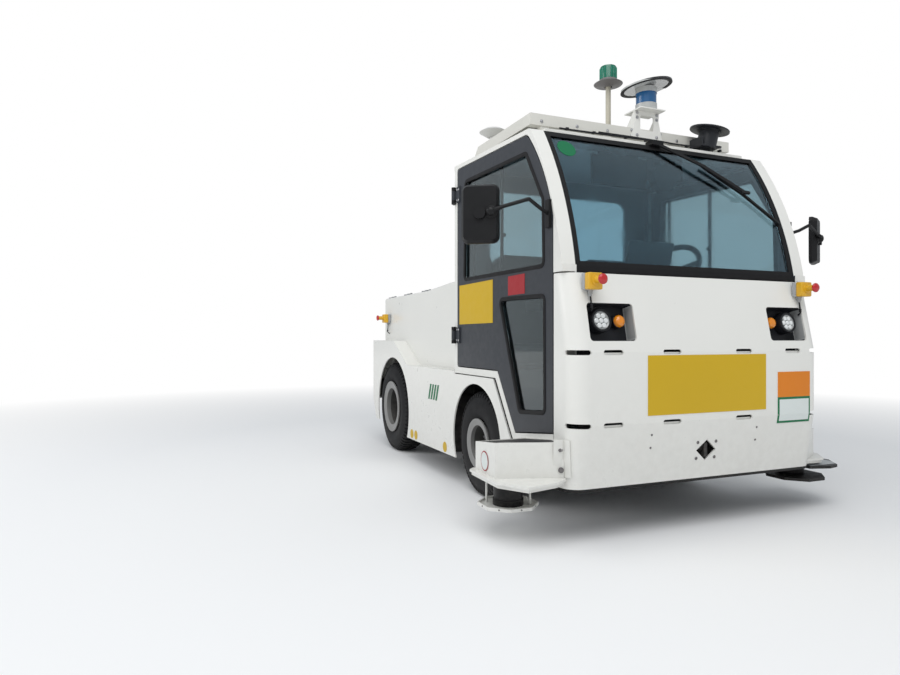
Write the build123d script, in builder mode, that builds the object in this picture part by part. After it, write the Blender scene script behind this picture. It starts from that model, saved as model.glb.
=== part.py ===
"""Electric tow tractor for airport dollies, driven by sensors or by a driver in its cab.

Millimetres, +Z up, the front faces -Y and the vehicle's right side is -X.
The origin is on the ground at the middle of the overall length and width.
Lengthwise places are stations, measured back from the front panel's two folds: y = FRONT_Y + station.
"""

import os
from math import atan2, copysign, cos, degrees, hypot, radians, sin, sqrt

from build123d import *

os.makedirs("parts", exist_ok=True)

# Driving dimensions of the whole vehicle
HALF_WIDTH = 700
BODY_LENGTH = 3010
STOP_REACH, HITCH_REACH = 60, 172
HITCH_END = BODY_LENGTH + HITCH_REACH
FRONT_Y = (STOP_REACH - HITCH_END) / 2
SHEET = 8
GAP = 6
NEAR = 0.3
RUNNING = 0.06

# Wheels and axles
FRONT_AXLE, WHEELBASE = 952, 1548
REAR_AXLE = FRONT_AXLE + WHEELBASE
FRONT_TYRE_R, FRONT_TYRE_W, FRONT_RIM_R = 282, 160, 136
REAR_TYRE_R, REAR_TYRE_W, REAR_RIM_R = 331, 190, 190
FRONT_WHEEL_X = HALF_WIDTH - 92
REAR_WHEEL_X = HALF_WIDTH - 97
KINGPIN_X = FRONT_WHEEL_X - 138
KINGPIN_R, STUB_R = 12, 25
AXLE_H = 84
STEER_ARM, STEER_ARM_T = 130, 16
TIE_ROD_R, TIE_ROD_DROP = 13, 77

# Chassis
RAIL_X, RAIL_W, RAIL_H = 290, 80, 120
RAIL_TOP = 505
RAIL_BOTTOM = RAIL_TOP - RAIL_H
FRONT_RAIL_H, FRONT_RAIL_DROP = 110, 155
FRONT_RAIL_TOP = RAIL_TOP - FRONT_RAIL_DROP
MOUNT_R = 30
SPLASH_Z = 175

# Front panel, folded from thick plate
PANEL_BOTTOM, FOLD_LOW, FOLD_HIGH, PANEL_TOP = 231, 494, 794, 1125
PANEL_LEAN, LOW_LEAN = 70, 40
PANEL_CORNER = 76
PANEL_BACK = 157
SLOT_LONG, SLOT_HIGH = 98, 20
SLOT_ROUND = 62
SLOT_PLACES = (205, 510)
EYE_Z, EYE_LONG, EYE_HIGH = 357, 112, 94
LAMP_X, LAMP_Z = 500, 920
LAMP_LONG, LAMP_HIGH, LAMP_DEEP = 232, 158, 60

# Cab
DOOR_FRONT, DOOR_REAR, DOOR_T = 166, 1199, 40
CAB_REAR = DOOR_REAR + 43
PILLAR_IN = HALF_WIDTH - 68
FLOOR_T = 35
SCREEN_FOOT, SCREEN_HEAD, SCREEN_BULGE = (96, 1160), (357, 1800), 37
SEAL_W, SEAL_T, GLASS_T = 26, 20, 6
ROOF_Z, ROOF_RISE, ROOF_T, LIP = 1783, 0.047, 22, 28
REAR_WINDOW_W, REAR_WINDOW_H, REAR_WINDOW_Z = 960, 440, 1500
DECK_Z = 687
HINGE_Z, HINGE_R, HINGE_PIN_R = (869, 1672), 13, 8

# Rear body
HOOD_X = HALF_WIDTH - 100
HOOD_FRONT, HOOD_REAR = CAB_REAR + 8, BODY_LENGTH - 14
HOOD_LOW, HOOD_HIGH = 1180, 1204
HOOD_STEP_REAR, HOOD_STEP_FRONT = 1990, 1560
RIM_W = 42
LID_FRONT, LID_REAR = HOOD_STEP_REAR + 24, HOOD_REAR - 52
LID_HINGES = (LID_FRONT + 60, (LID_FRONT + LID_REAR) / 2, LID_REAR - 60)
LEDGE_Z, FENDER_Z = 660, 832
FENDER_KINK, FENDER_TOP = 2121, 2447
FRONT_ARCH, FRONT_ARCH_R, FRONT_ARCH_Z = FRONT_AXLE + 8, 305, 300
REAR_ARCH, REAR_ARCH_R, REAR_ARCH_Z = REAR_AXLE - 34, 385, 320
SKIRT_FRONT_Z, SKIRT_REAR_Z, TAIL_Z = 164, 145, 195
BATTERY_W, BATTERY_H, BATTERY_END = 1000, 570, 2400

# Roof sensors
RACK_X, RACK_FRONT, RACK_REAR = 622, 495, 1130
RACK_BOTTOM, RACK_TOP = 1874, 1929
MAST_STATION, MAST_H, MAST_R = 735, 312, 14
LIDAR_X, LIDAR_R, LIDAR_H = 60, 54, 116
BRACKET_TOP = 2024
SIDE_LIDAR_X, SIDE_LIDAR_STATION = 388, 424
ANTENNA_X, ANTENNA_R = 560, 78

# Sensor boxes on the front corners
BOX_BOTTOM, BOX_TOP, BOX_SLOPE = 278, 424, 0.12
BOX_FRONT, BOX_NOSE, BOX_REAR = 78, 171, 398
GUARD_Z, GUARD_R, GUARD_T = 140, 131, 14
CORNER_LIDAR_STATION, CORNER_LIDAR_R = 258, 62
REACH_RIGHT, REACH_LEFT = 268, 165
LEFT_DROP, LEFT_LOW = 37, 28
PLATE_T, PLATE_TOP = 14, 214

# Emergency stops: their box, and where they stand on the front panel and on the hood's sides
STOP_W, STOP_DEEP, STOP_HIGH = 66, 58, 68
STOP_X, STOP_Z = 599, 1086
REAR_STOP_STATION, REAR_STOP_Z = 2865, 1011

# Cab fittings
STEERING_R = 176
STEERING_X, STEERING_STATION, STEERING_Z = 260, 560, 1200

# Tow hitch
HITCH_X, JAW_T = 75, 20
PIN_STATION, PIN_R = HITCH_END - 70, 16
JAWS = (325, 425, 525)


def at(station):
    """The y of a station."""
    return FRONT_Y + station


def roof_z(station):
    """Underside of the roof, which rises slightly towards the back."""
    return ROOF_Z + ROOF_RISE * (station - SCREEN_HEAD[0])


def screen_station(z):
    """Station of the screen's outer face at a height."""
    ds, dz = SCREEN_HEAD[0] - SCREEN_FOOT[0], SCREEN_HEAD[1] - SCREEN_FOOT[1]
    t = (z - SCREEN_FOOT[1]) / dz
    return SCREEN_FOOT[0] + ds * t - 4 * SCREEN_BULGE * t * (1 - t) * sqrt(ds * ds + dz * dz) / dz


def rod(a, b, r):
    """Adds a round bar with ball ends between two points of x, station and z."""
    start, end = Vector(a[0], at(a[1]), a[2]), Vector(b[0], at(b[1]), b[2])
    with BuildSketch(Plane(origin=start, z_dir=end - start)) as section:
        Circle(r)
    extrude(section.sketch, amount=(end - start).length)
    with Locations(start, end):
        Sphere(r)


def flat_bar(a, b, wide, thick):
    """Adds a flat bar between two points of x, station and z, a little longer at both ends."""
    start, end = Vector(a[0], at(a[1]), a[2]), Vector(b[0], at(b[1]), b[2])
    along = (end - start).normalized()
    across = along.cross(Vector(0, -0.9, 0.4))
    with BuildSketch(Plane(origin=start - along * wide / 2, x_dir=across, z_dir=along)) as section:
        Rectangle(wide, thick)
    extrude(section.sketch, amount=(end - start).length + wide)


def keep(piece, name):
    """Labels a finished piece and writes its file."""
    piece.part.label = name
    export_step(piece.part, f"parts/{name}.step")
    return piece


def side_face(points, rounded=0, only=None):
    """Adds a face on a side plane from (station, z) points, with its corners rounded."""
    with BuildLine() as outline:
        Polyline(*[(at(s), z) for s, z in points], close=True)
    make_face(outline.edges())
    if rounded:
        corners = vertices()
        if only is not None:
            corners = [corners.sort_by_distance((at(s), z))[0] for s, z in only]
        fillet(corners, rounded)


def keep_pair(piece, name):
    """Writes the right-hand piece and its mirror image on the left."""
    keep(piece, name + "_right")
    with BuildPart() as other:
        mirror(piece.part, about=Plane.YZ)
    keep(other, name + "_left")


def bulge_point(foot, head, bulge):
    """The middle of an arc that bulges forwards between two (station, z) points."""
    ds, dz = head[0] - foot[0], head[1] - foot[1]
    chord = sqrt(ds * ds + dz * dz)
    return (
        (foot[0] + head[0]) / 2 - bulge * dz / chord,
        (foot[1] + head[1]) / 2 + bulge * ds / chord,
    )


SCREEN_MID = bulge_point(SCREEN_FOOT, SCREEN_HEAD, SCREEN_BULGE)


def wheel(sign, station, axle_z, tyre_r, tyre_w, rim_r, seat_r, centre_x, dish, name):
    """A solid tyre on a steel rim whose disc sits deep inside the barrel."""
    out = sign * centre_x
    hub = Plane(origin=(out, at(station), axle_z), x_dir=(0, 0, 1), z_dir=(sign, 0, 0))
    profile = Plane(hub.origin, x_dir=(sign, 0, 0), z_dir=(0, -1, 0))
    half = tyre_w / 2
    wall = (tyre_r - rim_r) * 0.45
    with BuildPart() as tyre:
        with BuildSketch(profile):
            with BuildLine():
                Polyline(
                    (-half + 16, seat_r + NEAR),
                    (-half + 6, rim_r + 4),
                    (-half, rim_r + wall),
                    (-half + 10, tyre_r - 12),
                    (-half + 30, tyre_r),
                    (half - 30, tyre_r),
                    (half - 10, tyre_r - 12),
                    (half, rim_r + wall),
                    (half - 6, rim_r + 4),
                    (half - 16, seat_r + NEAR),
                    close=True,
                )
            make_face()
        revolve(axis=Axis(hub.origin, (1, 0, 0)))
    keep(tyre, name + "_tyre")
    with BuildPart() as rim:
        with BuildSketch(profile):
            with BuildLine():
                Polyline(
                    (-half + 10, seat_r - 14),
                    (-half + 10, seat_r),
                    (half - 16, seat_r),
                    (half - 5, rim_r),
                    (half + 3, rim_r),
                    (half + 3, rim_r - 10),
                    (half - 4, seat_r - 14),
                    (dish + 14, seat_r - 14),
                    (dish + 14, 62),
                    (dish + 34, 56),
                    (dish + 34, STUB_R + RUNNING),
                    (dish - 30, STUB_R + RUNNING),
                    (dish - 30, 56),
                    (dish, 70),
                    (dish, seat_r - 14),
                    close=True,
                )
            make_face()
        revolve(axis=Axis(hub.origin, (1, 0, 0)))
        with Locations(hub.offset(dish + 14)):
            with PolarLocations(78, 5):
                CounterSinkHole(9, 12, depth=14)
    keep(rim, name + "_rim")


def wheels():
    for sign, side in ((-1, "right"), (1, "left")):
        wheel(sign, FRONT_AXLE, FRONT_TYRE_R, FRONT_TYRE_R, FRONT_TYRE_W, FRONT_RIM_R, 114,
              FRONT_WHEEL_X, -20, "front_" + side)
        wheel(sign, REAR_AXLE, REAR_TYRE_R, REAR_TYRE_R, REAR_TYRE_W, REAR_RIM_R, 152,
              REAR_WHEEL_X, -25, "rear_" + side)


def chassis():
    """Two rails that drop in front of the axle, joined by cross members, with the front towing eye."""
    low = FRONT_RAIL_TOP - FRONT_RAIL_H
    bend = FRONT_AXLE - 250
    end = HOOD_REAR - 2 * SHEET - NEAR
    inner = RAIL_X - RAIL_W / 2
    reach = HALF_WIDTH - SHEET - NEAR
    outside = RAIL_X + RAIL_W / 2 - 2
    eye = LOW_LEAN * (FOLD_LOW - EYE_Z) / (FOLD_LOW - PANEL_BOTTOM) + 2
    tyre_swing = hypot(FRONT_TYRE_R, FRONT_WHEEL_X - KINGPIN_X + FRONT_TYRE_W / 2)
    with BuildPart() as frame:
        for x in (-RAIL_X, RAIL_X):
            with BuildSketch(Plane.YZ.offset(x - RAIL_W / 2)):
                side_face([
                    (115, low), (bend - 130, low), (bend, RAIL_BOTTOM), (end, RAIL_BOTTOM),
                    (end, RAIL_TOP), (bend, RAIL_TOP), (bend - 140, FRONT_RAIL_TOP), (115, FRONT_RAIL_TOP),
                ])
            extrude(amount=RAIL_W)
        for station, half in ((CAB_REAR - 38, inner), (1700, reach), (2060, reach)):
            with Locations((0, at(station), (RAIL_BOTTOM + RAIL_TOP) / 2)):
                Box(2 * half, 60, RAIL_TOP - RAIL_BOTTOM)
        # Splash plates behind the front wheels, clear of the tyres at full lock
        for side in (-1, 1):
            with Locations((side * (outside + reach) / 2, at(FRONT_AXLE + tyre_swing + 14), (RAIL_TOP + SPLASH_Z) / 2)):
                Box(reach - outside, 5, RAIL_TOP - SPLASH_Z)
        deck = DECK_Z - FLOOR_T
        for x in (-RAIL_X, RAIL_X):
            for station, foot, top in (
                (300, FRONT_RAIL_TOP, sill_z(300 + MOUNT_R) - FLOOR_T),
                (bend + 90, RAIL_TOP, deck),
                (CAB_REAR - 38, RAIL_TOP, deck),
            ):
                with Locations((x, at(station), (foot + top - NEAR) / 2)):
                    Cylinder(MOUNT_R, top - NEAR - foot)
            with Locations((x, at(HOOD_FRONT + SHEET + NEAR + 10), RAIL_TOP + 65)):
                Box(RAIL_W, 20, 130)
        with Locations((0, at(103), low + 60)):
            Box(2 * (HALF_WIDTH - 60), 24, 100)
        with Locations((0, at(end + SHEET), RAIL_BOTTOM + 55)):
            Box(2 * reach, 2 * SHEET, 150)
        with Locations((0, at(end + SHEET), RAIL_BOTTOM + 170)):
            Box(2 * (HOOD_X - 40), 2 * SHEET, 80)
        with BuildSketch(Plane.YZ.offset(-8)):
            side_face([(eye, EYE_Z - 31), (92, EYE_Z - 47), (92, EYE_Z + 47), (eye, EYE_Z + 31)], 6)
        extrude(amount=16)
        with Locations((0, at(100), EYE_Z)):
            Box(190, 16, 150)
        with Locations(Plane(origin=(0, at(eye + 22), EYE_Z), z_dir=(1, 0, 0))):
            Cylinder(14, 40, mode=Mode.SUBTRACT)
    keep(frame, "chassis_frame")


def front_axle():
    """A box beam under the rails with a fork for each kingpin, and what turns in the forks."""
    z = FRONT_TYRE_R
    eye_h, plate_t = 122, 22
    web = KINGPIN_X - 85
    with BuildPart() as axle:
        with Locations((0, at(FRONT_AXLE), z)):
            Box(2 * web, AXLE_H, AXLE_H)
        for sign in (-1, 1):
            for mid in (z - eye_h / 2 - plate_t / 2 - 1, z + eye_h / 2 + plate_t / 2 + 1):
                with Locations((sign * KINGPIN_X, at(FRONT_AXLE), mid)):
                    Cylinder(38, plate_t)
                with Locations((sign * (KINGPIN_X + web) / 2, at(FRONT_AXLE), mid)):
                    Box(KINGPIN_X - web, 76, plate_t)
            with Locations((sign * web, at(FRONT_AXLE), z)):
                Box(36, 76, eye_h + 2 * plate_t + 2)
            with Locations((sign * KINGPIN_X, at(FRONT_AXLE), z)):
                Cylinder(KINGPIN_R, eye_h + 2 * plate_t)
            with Locations((sign * RAIL_X, at(FRONT_AXLE), (z + AXLE_H / 2 + RAIL_BOTTOM) / 2)):
                Box(RAIL_W, 76, RAIL_BOTTOM - z - AXLE_H / 2)
    keep(axle, "front_axle")
    arm_z = z - TIE_ROD_DROP + 20
    for sign, side in ((-1, "right"), (1, "left")):
        x = sign * KINGPIN_X
        with BuildPart() as knuckle:
            with Locations((x, at(FRONT_AXLE), z)):
                Cylinder(30, eye_h)
            stub = Plane(origin=(x, at(FRONT_AXLE), z), x_dir=(0, 1, 0), z_dir=(sign, 0, 0))
            with BuildSketch(stub):
                Circle(STUB_R)
            extrude(amount=FRONT_WHEEL_X + 20 - KINGPIN_X)
            with BuildSketch(Plane.XY.offset(arm_z)):
                with Locations((x, at(FRONT_AXLE) + STEER_ARM / 2)):
                    SlotCenterToCenter(STEER_ARM, 40, rotation=90)
            extrude(amount=STEER_ARM_T)
            with Locations((x, at(FRONT_AXLE), z)):
                Cylinder(KINGPIN_R + RUNNING, eye_h, mode=Mode.SUBTRACT)
            with Locations((x, at(FRONT_AXLE) + STEER_ARM, arm_z - 10)):
                Cylinder(9, 56)
        keep(knuckle, "knuckle_" + side)
    rod_z = z - TIE_ROD_DROP
    with BuildPart() as rod_piece:
        run = Plane(origin=(-KINGPIN_X, at(FRONT_AXLE) + STEER_ARM, rod_z), z_dir=(1, 0, 0))
        with BuildSketch(run):
            Circle(TIE_ROD_R)
        extrude(amount=2 * KINGPIN_X)
        for x in (-KINGPIN_X, KINGPIN_X):
            with Locations((x, at(FRONT_AXLE) + STEER_ARM, rod_z)):
                Cylinder(21, 30)
                Cylinder(9 + RUNNING, 60, mode=Mode.SUBTRACT)
    keep(rod_piece, "tie_rod")


def rear_axle():
    """Driven axle tube with its final drive and the electric motor in front of it."""
    z = REAR_TYRE_R
    flange_x, flange_t = REAR_WHEEL_X - 173, 52
    with BuildPart() as axle:
        tube = Plane(origin=(-flange_x, at(REAR_AXLE), z), z_dir=(1, 0, 0))
        with BuildSketch(tube):
            Circle(46)
        extrude(amount=2 * flange_x)
        for sign in (-1, 1):
            end = Plane(origin=(sign * flange_x, at(REAR_AXLE), z), z_dir=(sign, 0, 0))
            with BuildSketch(end):
                Circle(95)
            extrude(amount=flange_t)
            with BuildSketch(end.offset(flange_t)):
                Circle(STUB_R)
            extrude(amount=REAR_WHEEL_X + 15 - flange_x - flange_t)
            with Locations((sign * RAIL_X, at(REAR_AXLE), (z + RAIL_BOTTOM) / 2)):
                Box(RAIL_W, 90, RAIL_BOTTOM - z)
        with Locations((0, at(REAR_AXLE), z)):
            Sphere(125)
        motor = Plane(origin=(0, at(REAR_AXLE) - 90, z), z_dir=(0, -1, 0))
        with BuildSketch(motor):
            Circle(98)
        extrude(amount=270)
        with BuildSketch(motor.offset(270)):
            Circle(84)
        extrude(amount=22)
    keep(axle, "rear_axle")


def cowl_section(z, lean, inset, back):
    """Plan outline of the front panel at one height."""
    half, front = HALF_WIDTH - inset, at(lean) + inset
    with BuildSketch(Plane.XY.offset(z)) as section:
        with BuildLine():
            FilletPolyline((-half, back), (-half, front), (half, front), (half, back),
                           radius=PANEL_CORNER - inset)
            Line((half, back), (-half, back))
        make_face()
    return section.sketch


def front_panel():
    """The white cowl, folded along two rows of relief slots, with lamp and tow-eye openings."""
    levels = ((PANEL_BOTTOM, LOW_LEAN), (FOLD_LOW, 0), (FOLD_HIGH, 0), (PANEL_TOP, PANEL_LEAN))
    back = at(PANEL_BACK)
    with BuildPart() as panel:
        loft([cowl_section(z, lean, 0, back) for z, lean in levels], ruled=True)
        loft([cowl_section(z, lean, SHEET, back + 20) for z, lean in levels], ruled=True,
             mode=Mode.SUBTRACT)
        cut = Plane(origin=(0, at(-20), 0), x_dir=(1, 0, 0), z_dir=(0, -1, 0))
        with BuildSketch(cut):
            for z in (FOLD_LOW, FOLD_HIGH):
                for x in SLOT_PLACES:
                    with Locations((-x, z), (x, z)):
                        SlotOverall(SLOT_LONG, SLOT_HIGH)
            with Locations((-LAMP_X, LAMP_Z), (LAMP_X, LAMP_Z)):
                RectangleRounded(LAMP_LONG, LAMP_HIGH, 16)
            with BuildLine():
                Polyline((-EYE_LONG / 2, EYE_Z), (0, EYE_Z - EYE_HIGH / 2), (EYE_LONG / 2, EYE_Z),
                         (0, EYE_Z + EYE_HIGH / 2), close=True)
            make_face()
        extrude(amount=-160, mode=Mode.SUBTRACT)
        with BuildSketch(cut):
            for z in (FOLD_LOW, FOLD_HIGH):
                with Locations((-HALF_WIDTH, z), (HALF_WIDTH, z)):
                    SlotOverall(2 * PANEL_CORNER + 10, SLOT_HIGH)
        extrude(amount=-20 - SLOT_ROUND, mode=Mode.SUBTRACT)
        with BuildSketch(Plane.YZ.offset(-HALF_WIDTH - 1)):
            with Locations((at(SLOT_ROUND), FOLD_LOW), (at(SLOT_ROUND), FOLD_HIGH)):
                Circle(SLOT_HIGH / 2)
        extrude(amount=2 * HALF_WIDTH + 2, mode=Mode.SUBTRACT)
    keep(panel, "front_panel")
    with BuildPart() as housings:
        face = PANEL_LEAN * (LAMP_Z - FOLD_HIGH) / (PANEL_TOP - FOLD_HIGH)
        lean = atan2(PANEL_LEAN, PANEL_TOP - FOLD_HIGH)
        inward = (0, cos(lean), -sin(lean))
        for sign in (-1, 1):
            mouth = Plane(origin=(sign * LAMP_X, at(face + SHEET / cos(lean) + NEAR), LAMP_Z),
                          x_dir=(1, 0, 0), z_dir=inward)
            with BuildSketch(mouth):
                RectangleRounded(LAMP_LONG + 6, LAMP_HIGH + 12, 18)
            extrude(amount=LAMP_DEEP)
            with BuildSketch(mouth):
                RectangleRounded(LAMP_LONG, LAMP_HIGH, 16)
            extrude(amount=LAMP_DEEP - 5, mode=Mode.SUBTRACT)
            floor = mouth.offset(LAMP_DEEP - 5)
            for dx, r, t in ((36, 52, 34), (-62, 27, 26)):
                with BuildSketch(floor):
                    with Locations((sign * dx, -10)):
                        Circle(r)
                extrude(amount=-t)
    keep(housings, "front_lamps")


def sill_z(station):
    """Top of the strip under the doors, in front of where it climbs to the deck."""
    return 446 - 0.123 * (station - 161)


def door_outline(grow=0.0):
    """Adds the door's outline to the sketch, grown or shrunk, with a front edge that follows the screen."""
    top = roof_z(DOOR_REAR) - GAP
    foot, bend, mid = (DOOR_FRONT, sill_z(DOOR_FRONT) + GAP), (DOOR_FRONT, 1371), (262, 1607)
    head, low = (388, roof_z(388) - GAP), DECK_Z + GAP
    points = [(at(st), z) for st, z in (head, (DOOR_REAR, top), (DOOR_REAR, low), (688, low),
                                        (500, sill_z(500) + GAP), foot)]
    with BuildLine() as outline:
        Line(points[-1], (at(bend[0]), bend[1]))
        ThreePointArc((at(bend[0]), bend[1]), (at(mid[0]), mid[1]), points[0])
        Polyline(*points)
    make_face(outline.edges())
    fillet(vertices().sort_by_distance(points[0])[0], 56)
    for corner in points[1:5]:
        fillet(vertices().sort_by_distance(corner)[0], 14)
    if grow:
        offset(amount=grow, kind=Kind.ARC)


UPPER_WINDOW = [(1105, 1180), (239, 1168), (246, 1460), (397, 1698), (1090, 1726)]
LOWER_WINDOW = [(668, 1045), (234, 1038), (231, 528), (462, 508)]


def window_face(points, grow=0.0):
    side_face(points, 28)
    if grow:
        offset(amount=grow)


def doors():
    """Right door with two windows, a recessed frame and hinge leaves; its mirror is the left one."""
    skin = Plane.YZ.offset(-HALF_WIDTH)
    hinge_x, hinge_y = -HALF_WIDTH - HINGE_R - 1, at(DOOR_REAR + 2 * HINGE_R)
    with BuildPart() as door:
        with BuildSketch(skin):
            door_outline()
        extrude(amount=DOOR_T)
        for points in (UPPER_WINDOW, LOWER_WINDOW):
            with BuildSketch(skin):
                window_face(points)
            extrude(amount=DOOR_T, mode=Mode.SUBTRACT)
        for z in HINGE_Z:
            with Locations((-HALF_WIDTH - 4, at(DOOR_REAR - 20), z)):
                Box(8, 40, 90)
            with Locations((-HALF_WIDTH - 4, at(DOOR_REAR + 8), z)):
                Box(8, 36, 50)
            with Locations((hinge_x, hinge_y, z)):
                Cylinder(HINGE_R, 50)
                Cylinder(HINGE_PIN_R + RUNNING, 60, mode=Mode.SUBTRACT)
    keep_pair(door, "door")
    with BuildPart() as glass:
        for points in (UPPER_WINDOW, LOWER_WINDOW):
            with BuildSketch(Plane.YZ.offset(-HALF_WIDTH + 12)):
                window_face(points, -NEAR)
            extrude(amount=GLASS_T)
    keep_pair(glass, "door_glass")
    with BuildPart() as hinges:
        for z in HINGE_Z:
            with Locations((hinge_x, hinge_y, z)):
                Cylinder(HINGE_PIN_R, 96)
            for dz in (-37, 37):
                with Locations((hinge_x, hinge_y, z + dz)):
                    Cylinder(HINGE_R, 22)
                with Locations((-HALF_WIDTH - 5, (hinge_y + at(CAB_REAR)) / 2 + 4, z + dz)):
                    Box(10, at(CAB_REAR) + 8 - hinge_y, 22)
            with Locations((-HALF_WIDTH + 20, at(CAB_REAR) + 4, z)):
                Box(60, 8, 96)
        mirror(about=Plane.YZ)
    keep(hinges, "door_hinges")


def mirrors():
    """Rear-view mirror on a bent tube that swings with the door."""
    turn = radians(32)
    edge = -HALF_WIDTH
    centre = (edge - 290, at(268), 1376)
    with BuildPart() as mirror_piece:
        joints = ((edge - 8, 190, 1384), (edge - 60, 170, 1402), (edge - 119, 158, 1432),
                  (edge - 226, 196, 1398), (edge - 268, 240, 1388))
        for a, b in zip(joints, joints[1:]):
            rod(a, b, 8)
        face = Plane(origin=centre, x_dir=(cos(turn), -sin(turn), 0), z_dir=(-sin(turn), -cos(turn), 0))
        with BuildSketch(face):
            RectangleRounded(162, 248, 30)
        extrude(amount=24, taper=26)
        with BuildSketch(face):
            RectangleRounded(162, 248, 30)
        extrude(amount=-14)
        with BuildSketch(face.offset(8)):
            Circle(25)
        extrude(amount=30)
        with Locations((edge - 7, at(190), 1384)):
            Box(14, 30, 120)
    keep_pair(mirror_piece, "mirror")


def cab_side(front):
    """Adds the cab's side outline to the sketch, from the deck up to the roof."""
    with BuildLine() as outline:
        ThreePointArc((at(SCREEN_FOOT[0]), SCREEN_FOOT[1]), (at(SCREEN_MID[0]), SCREEN_MID[1]),
                      (at(SCREEN_HEAD[0]), SCREEN_HEAD[1]))
        Polyline((at(SCREEN_HEAD[0]), SCREEN_HEAD[1]), (at(SCREEN_HEAD[0] + LIP), SCREEN_HEAD[1]),
                 (at(SCREEN_HEAD[0] + LIP), roof_z(SCREEN_HEAD[0] + LIP) - NEAR),
                 (at(CAB_REAR), roof_z(CAB_REAR) - NEAR), (at(CAB_REAR), DECK_Z + NEAR),
                 (at(front), DECK_Z + NEAR), (at(front), SCREEN_FOOT[1]),
                 (at(SCREEN_FOOT[0]), SCREEN_FOOT[1]))
    make_face(outline.edges())


def cab_frame():
    """Pillars and rails round both door openings, with the beams and the back wall that join them."""
    right = -HALF_WIDTH
    with BuildPart() as frame:
        with BuildSketch(Plane.YZ.offset(right)):
            cab_side(88)
        extrude(amount=-right - PILLAR_IN)
        with BuildSketch(Plane.YZ.offset(right)) as opening:
            door_outline(GAP)
        extrude(amount=DOOR_T + 3, mode=Mode.SUBTRACT)
        with BuildSketch(Plane.YZ.offset(right + DOOR_T + 3)) as rebate:
            door_outline(-24)
        extrude(amount=-right - DOOR_T - 3 - PILLAR_IN, mode=Mode.SUBTRACT)
        with Locations((right + 27, at(120), (DECK_Z + PANEL_TOP + GAP) / 2)):
            Box(66, 90, PANEL_TOP + GAP - DECK_Z, mode=Mode.SUBTRACT)
        rounded = frame.edges().filter_by(GeomType.CIRCLE).group_by(Axis.X)[0]
        mirror(about=Plane.YZ)
        head = SCREEN_HEAD[0] + LIP
        with BuildSketch(Plane.YZ.offset(-PILLAR_IN)):
            low, high = SCREEN_HEAD[1] - 36, roof_z(head) - NEAR
            behind = 1.25 * (SEAL_T + 2) + NEAR
            side_face([(screen_station(low) + behind, low), (head + 60, low), (head + 60, roof_z(head + 60) - NEAR),
                       (head, high), (screen_station(high) + behind, high)])
            foot, strip = SCREEN_FOOT[1] - 8 - NEAR, SCREEN_FOOT[0] + 18 + NEAR
            side_face([(strip, foot - 110), (strip + 36, foot - 110), (strip + 36, foot), (strip, foot)])
        extrude(amount=2 * PILLAR_IN)
        wall = Plane(origin=(0, at(CAB_REAR - 24), 0), x_dir=(1, 0, 0), z_dir=(0, -1, 0))
        top = roof_z(CAB_REAR - 24) - 2
        with BuildSketch(wall):
            with Locations((0, (DECK_Z + NEAR + top) / 2)):
                Rectangle(2 * PILLAR_IN, top - DECK_Z - NEAR)
            with Locations((0, REAR_WINDOW_Z)):
                RectangleRounded(REAR_WINDOW_W, REAR_WINDOW_H, 60, mode=Mode.SUBTRACT)
        extrude(amount=-22)
    keep(frame, "cab_frame")


def cab_tub():
    """Floor, heel board and seat deck folded as one plate, with a strip showing under each door."""
    knee, heel, front = 691, 502, 161
    with BuildPart() as tub:
        with BuildSketch(Plane.YZ.offset(-HALF_WIDTH)):
            side_face([(front, sill_z(front)), (heel, sill_z(heel)), (knee, DECK_Z), (CAB_REAR, DECK_Z),
                       (CAB_REAR, DECK_Z - FLOOR_T), (knee + 22, DECK_Z - FLOOR_T),
                       (heel + 20, sill_z(heel) - FLOOR_T), (front, sill_z(front) - FLOOR_T)])
        extrude(amount=2 * HALF_WIDTH)
        low = sill_z(front) - FLOOR_T
        with Locations((0, at(140), low + FLOOR_T / 2)):
            Box(2 * (HALF_WIDTH - SHEET - 2), 46, FLOOR_T)
        for sign in (-1, 1):
            with Locations((sign * (HALF_WIDTH - 34), at(142), (DECK_Z + low + FLOOR_T) / 2)):
                Box(40, 34, DECK_Z - low - FLOOR_T)
        with Locations((0, at(120), (1039 + low) / 2)):
            Box(2 * (HALF_WIDTH - 100), 8, 1039 - low)
        with Locations((0, at(130), low + 15)):
            Box(2 * (HALF_WIDTH - 100), 26, 30)
    keep(tub, "cab_tub")


def screen_band(front, back, low, high, half, mode=Mode.ADD):
    """A curved slab that follows the screen's arc, between two offsets behind it."""
    ds, dz = SCREEN_HEAD[0] - SCREEN_FOOT[0], SCREEN_HEAD[1] - SCREEN_FOOT[1]
    chord = sqrt(ds * ds + dz * dz)
    radius = chord * chord / (8 * SCREEN_BULGE) + SCREEN_BULGE / 2
    centre = (SCREEN_MID[0] + radius * dz / chord, SCREEN_MID[1] - radius * ds / chord)
    with BuildSketch(Plane.YZ.offset(-half)) as band:
        with Locations((at(centre[0]), centre[1])):
            Circle(radius - front)
            Circle(radius - back, mode=Mode.SUBTRACT)
        with Locations((at(250), (low + high) / 2)):
            Rectangle(700, high - low, mode=Mode.INTERSECT)
    extrude(band.sketch, amount=2 * half, mode=mode)


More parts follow.
